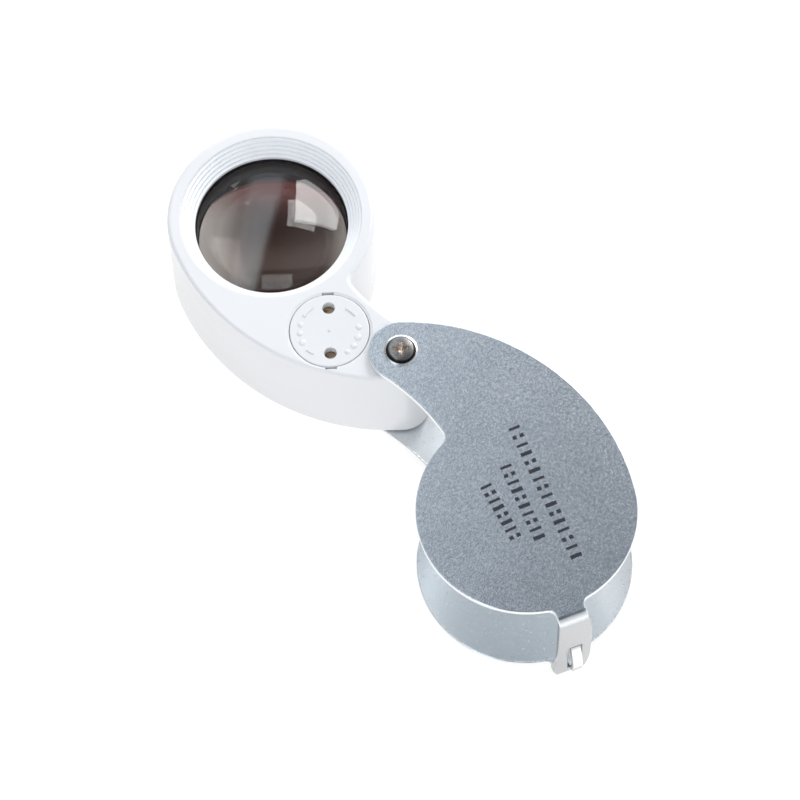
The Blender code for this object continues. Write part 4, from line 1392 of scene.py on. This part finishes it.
@dataclass
class BatteryBay:
    """Cover with its spanner holes and raised marks, and what lies under it."""

    radius: float = 6.4 * MM
    top: float = HOUSING_TOP
    thick: float = 1.3 * MM
    skirt_r: tuple[float, float] = (5.3 * MM, 5.98 * MM)
    skirt_low: float = 18.55 * MM
    ceiling: float = 19.2 * MM
    lug_r: float = 6.8 * MM
    lug_at: float = 18.9 * MM
    spanner_span: float = 8.05 * MM
    hole_r: float = 1.0 * MM
    mark_r: float = 4.75 * MM
    raise_by: float = 0.2 * MM
    bar_wide: float = 0.7 * MM
    bar_taper: float = 0.35
    dots: tuple = ((-28, 0.5), (-50, 0.62), (-70, 0.56), (-88, 0.46), (132, 0.46), (151, 0.5), (171, 0.56))
    bars: tuple = ((113, -26), (22, -24), (-172, 16))

    def axis(self) -> Matrix:
        """The cover's own axis: its spanner holes lie along X."""
        return UNIT @ Matrix.Translation((*CELL_AT, 0)) @ Matrix.Rotation(SPANNER_ANGLE, 4, "Z")

    def cover(self) -> Piece:
        """The disc with its lugs, hollow underside and two spanner holes."""
        top, low, soft = self.top, self.top - self.thick, 0.1 * MM
        inner, outer = self.skirt_r
        points = [(0, top), (self.radius - 0.3 * MM, top), (self.radius - soft, top),
                  (self.radius - 0.3 * soft, top - 0.3 * soft), (self.radius, top - soft), (self.radius, low),
                  (outer, low), (outer, self.skirt_low), (inner, self.skirt_low), (inner, self.ceiling),
                  (0, self.ceiling)]
        piece = new_piece("cover_disc", turned(points, steps=128), 30)
        lugs = block((2 * self.lug_r, 1.6 * MM, 0.6 * MM), (0, 0, self.lug_at), math.radians(45))
        carve(piece, [lugs], "UNION")
        holes = []
        for side in (-1, 1):
            at = (side * self.spanner_span / 2, 0)
            flared = self.hole_r + 0.2 * MM
            holes += [cylinder(self.hole_r, 18 * MM, 22 * MM, at, 48),
                      cylinder(self.hole_r, top - 0.08 * MM, top + 0.12 * MM, at, 48, top=flared)]
        holes.append(cylinder(inner - 0.05 * MM, 18 * MM, self.ceiling, steps=64))
        carve(piece, holes)
        piece.data.transform(self.axis())
        even_normals(piece)
        return piece

    def dot(self, bm: BMesh, radius: float, angle: float, size: float) -> None:
        """A raised round dot on the cover."""
        part = bmesh.new()
        bmesh.ops.create_uvsphere(part, u_segments=20, v_segments=10, radius=size)
        bmesh.ops.scale(part, verts=part.verts, vec=(1, 1, self.raise_by / size))
        at = (radius * math.cos(angle), radius * math.sin(angle), self.top)
        join_mesh(bm, moved(part, Matrix.Translation(at)))

    def bar(self, bm: BMesh, radius: float, start: float, sweep: float) -> None:
        """A raised bar that follows the rim and narrows towards its far end.

        Args:
            bm: the mesh to add to.
            radius: how far out its middle line is.
            start: the angle of its wide end.
            sweep: how far round it runs.
        """
        part = bmesh.new()
        half = self.bar_wide / 2
        ends = []
        for z in (self.top - 0.05 * MM, self.top + self.raise_by):
            draw = 0.0 if z < self.top else 0.35 * half
            ends.append([part.verts.new((radius + s * (half - draw), 0, z)) for s in (-1, 1)])
        section = [ends[0][0], ends[0][1], ends[1][1], ends[1][0]]
        face = part.faces.new(section)
        bmesh.ops.spin(part, geom=[face, *face.edges, *section], cent=(0, 0, 0), axis=UP, angle=sweep, steps=10)
        tidy(part)
        for vert in part.verts:
            a = math.atan2(vert.co.y, vert.co.x)
            keep = 1 - (1 - self.bar_taper) * min(1.0, abs(a / sweep))
            flat = Vector((vert.co.x, vert.co.y))
            r = flat.length
            flat = flat.normalized() * (radius + (r - radius) * keep)
            vert.co.x, vert.co.y = flat
        join_mesh(bm, moved(part, Matrix.Rotation(start, 4, "Z")))

    def marks(self) -> Piece:
        """Dots that grow round each side and tapered bars that show which way to turn."""
        bm = bmesh.new()
        turn = OPEN_ANGLE - SPANNER_ANGLE
        for degrees, size in self.dots:
            self.dot(bm, self.mark_r, math.radians(degrees) + turn, size * MM)
        for degrees, sweep in self.bars:
            self.bar(bm, self.mark_r + 0.1 * MM, math.radians(degrees) + turn, math.radians(sweep))
        self.dot(bm, 0, 0, 0.3 * MM)
        return new_piece("cover_marks", moved(bm, self.axis()), 30)

    def build(self) -> None:
        """Make the cover and dress the cells and their contacts."""
        white = MouldedWhite("cover_white", (0.78, 0.785, 0.795), (0.76, 0.765, 0.77), 0.3, 0.6 * MM,
                             0.008 * MM).build()
        put(self.cover(), Body.COVER, white, "white_abs", "battery_cover")
        put(self.marks(), Body.COVER, white, "white_abs")
        brass = PlatedMetal("contact_brass", (0.50, 0.36, 0.24), (0.24, 0.15, 0.09), 0.34).build()
        nickel = PlatedMetal("spring_nickel", (0.78, 0.77, 0.74), (0.5, 0.46, 0.4), 0.22).build()
        cell = PlatedMetal("cell_can", (0.76, 0.76, 0.76), (0.6, 0.6, 0.6), 0.2, 0.12 * MM).build()
        for name in ("cover_contact", "side_contact", "switch_leaf"):
            dress(name, brass)
        dress("battery_spring", nickel)
        for i in (1, 2, 3):
            dress(f"battery_cell_{i}", cell)


class Lamp:
    """Circuit board, resistor, the two lamps and their wires."""

    def build(self) -> None:
        """Dress the frame's nodes."""
        dress("circuit_board", CircuitBoard().build())
        dress("resistor", DarkMoulding("resistor_body", roughness=0.3).build())
        resin = ClearResin().build()
        dress("led_1", resin)
        dress("led_2", resin)
        dress("led_wire_1", WireSleeve("red_sleeve", (0.55, 0.03, 0.02)).build())
        dress("led_wire_2", WireSleeve("black_sleeve", (0.015, 0.015, 0.016)).build())


# ---- studio ---------------------------------------------------------------------------------
@dataclass
class Studio:
    """Floor, soft lights and the camera."""

    aim: tuple[float, float, float] = (-2.234 * MM, 31.356 * MM, 11.0 * MM)
    distance: float = 645.69 * MM
    azimuth: float = -33.776
    elevation: float = 64.451
    roll: float = -1.64
    lens: float = 180.0
    sensor: float = 36.0
    sky: tuple = ((0.0, (0.6, 0.6, 0.6)), (0.45, (0.52, 0.525, 0.53)), (0.75, (0.18, 0.19, 0.21)),
                  (1.0, (0.05, 0.058, 0.07)))
    glow_axis: tuple[float, float, float] = (-0.66, 0.751, 0.0)
    glow_curve: tuple = ((0.08, 0.0), (0.15, 0.5), (0.23, 1.0), (0.34, 1.0), (0.48, 0.0))
    glow: Colour = (1.5, 1.62, 1.75)

    def camera(self) -> None:
        """A long lens above the front left, looking down at the open loupe."""
        a, e = math.radians(self.azimuth), math.radians(self.elevation)
        back = Vector((math.sin(a) * math.cos(e), -math.cos(a) * math.cos(e), math.sin(e)))
        turn = (-back).to_track_quat("-Z", "Y").to_matrix().to_4x4()
        turn = turn @ Matrix.Rotation(math.radians(self.roll), 4, "Z")
        data = bpy.data.cameras.new("camera")
        data.lens = self.lens
        data.sensor_width = self.sensor
        data.clip_start = 0.01
        data.clip_end = 20
        camera = bpy.data.objects.new("camera", data)
        bpy.context.scene.collection.objects.link(camera)
        camera.matrix_world = Matrix.Translation(Vector(self.aim) + back * self.distance) @ turn
        bpy.context.scene.camera = camera

    def floor(self) -> None:
        """A wide pale floor under the object."""
        bm = bmesh.new()
        bmesh.ops.create_grid(bm, x_segments=2, y_segments=2, size=3.0)
        bmesh.ops.translate(bm, verts=bm.verts, vec=(0, 0, -0.03 * MM))
        floor = new_piece("floor", bm)
        floor.data.materials.append(TableTop().build())

    def softbox(self, name: str, centre: Sequence[float], width: Sequence[float], height: Sequence[float],
                radiance: float, colour: Colour = (1, 1, 1), mirrored: bool = True) -> None:
        """A rectangular soft light.

        Args:
            name: the light's name.
            centre: the middle of its face.
            width: the vector along its width.
            height: the vector along its height.
            radiance: how bright its face is.
            colour: its colour.
            mirrored: whether shiny pieces show it.
        """
        x, y = Vector(width), Vector(height)
        z = x.cross(y).normalized()
        if z.dot(Vector(centre)) < 0:
            x, z = -x, -z
        data = bpy.data.lights.new(name, "AREA")
        data.shape = "RECTANGLE"
        data.size = x.length
        data.size_y = y.length
        data.color = colour
        data.energy = radiance * math.pi * x.length * y.length
        light = bpy.data.objects.new(name, data)
        bpy.context.scene.collection.objects.link(light)
        basis = Matrix((x.normalized(), y.normalized(), z)).transposed().to_4x4()
        light.matrix_world = Matrix.Translation(centre) @ basis
        light.visible_glossy = mirrored

    def world(self) -> None:
        """A surround that is pale low down, darker overhead and brighter towards one side."""
        world = bpy.data.worlds.new("surround")
        world.use_nodes = True
        tree = world.node_tree
        sky = tree.nodes["Background"]
        place = tree.nodes.new("ShaderNodeTexCoord")
        split = tree.nodes.new("ShaderNodeSeparateXYZ")
        ramp = tree.nodes.new("ShaderNodeValToRGB")
        while len(ramp.color_ramp.elements) < len(self.sky):
            ramp.color_ramp.elements.new(0.5)
        for stop, (height, colour) in zip(ramp.color_ramp.elements, self.sky):
            stop.position = height
            stop.color = (*colour, 1.0)
        tree.links.new(place.outputs["Generated"], split.inputs[0])
        tree.links.new(split.outputs["Z"], ramp.inputs[0])
        facing = tree.nodes.new("ShaderNodeVectorMath")
        facing.operation = "DOT_PRODUCT"
        facing.inputs[1].default_value = self.glow_axis
        share = tree.nodes.new("ShaderNodeFloatCurve")
        points = share.mapping.curves[0].points
        points[0].location, points[1].location = (0.0, 0.0), (1.0, 0.0)
        for spot in self.glow_curve:
            points.new(*spot)
        share.mapping.update()
        both = tree.nodes.new("ShaderNodeMix")
        both.data_type, both.blend_type = "RGBA", "LIGHTEN"
        both.inputs[7].default_value = (*self.glow, 1.0)
        tree.links.new(place.outputs["Generated"], facing.inputs[0])
        tree.links.new(facing.outputs["Value"], share.inputs["Value"])
        tree.links.new(share.outputs[0], both.inputs[0])
        tree.links.new(ramp.outputs[0], both.inputs[6])
        tree.links.new(both.outputs[2], sky.inputs["Color"])
        bpy.context.scene.world = world

    def build(self) -> None:
        """Set up the stage."""
        bpy.context.scene.view_settings.view_transform = "Standard"
        self.floor()
        self.camera()
        self.world()
        self.softbox("key_softbox", (0.586, 0.402, 0.553), (0.099, -0.264, -0.300), (-0.270, -0.411, 0.247),
                     7.5)
        self.softbox("rear_strip", (0.21, 0.745, 0.247), (0.05, -0.045, 0.14), (-0.26, -0.31, 0.02), 3.0)
        self.softbox("camera_fill", (-0.27, -0.40, 0.80), (0.42, -0.28, 0), (0.20, 0.30, 0.22), 3.6,
                     (0.95, 0.97, 1.0), False)


def main() -> None:
    """Build every sub-assembly in order."""
    logging.basicConfig(level=logging.INFO, format="%(name)s: %(message)s")
    parts = (CaseSheet(), PrintedMarks(), PivotHardware(), LensHousing(), Optics(), BatteryBay(), Lamp(),
             Studio())
    for part in parts:
        LOG.info("building %s", type(part).__name__)
        part.build()


if __name__ == "__main__":
    main()
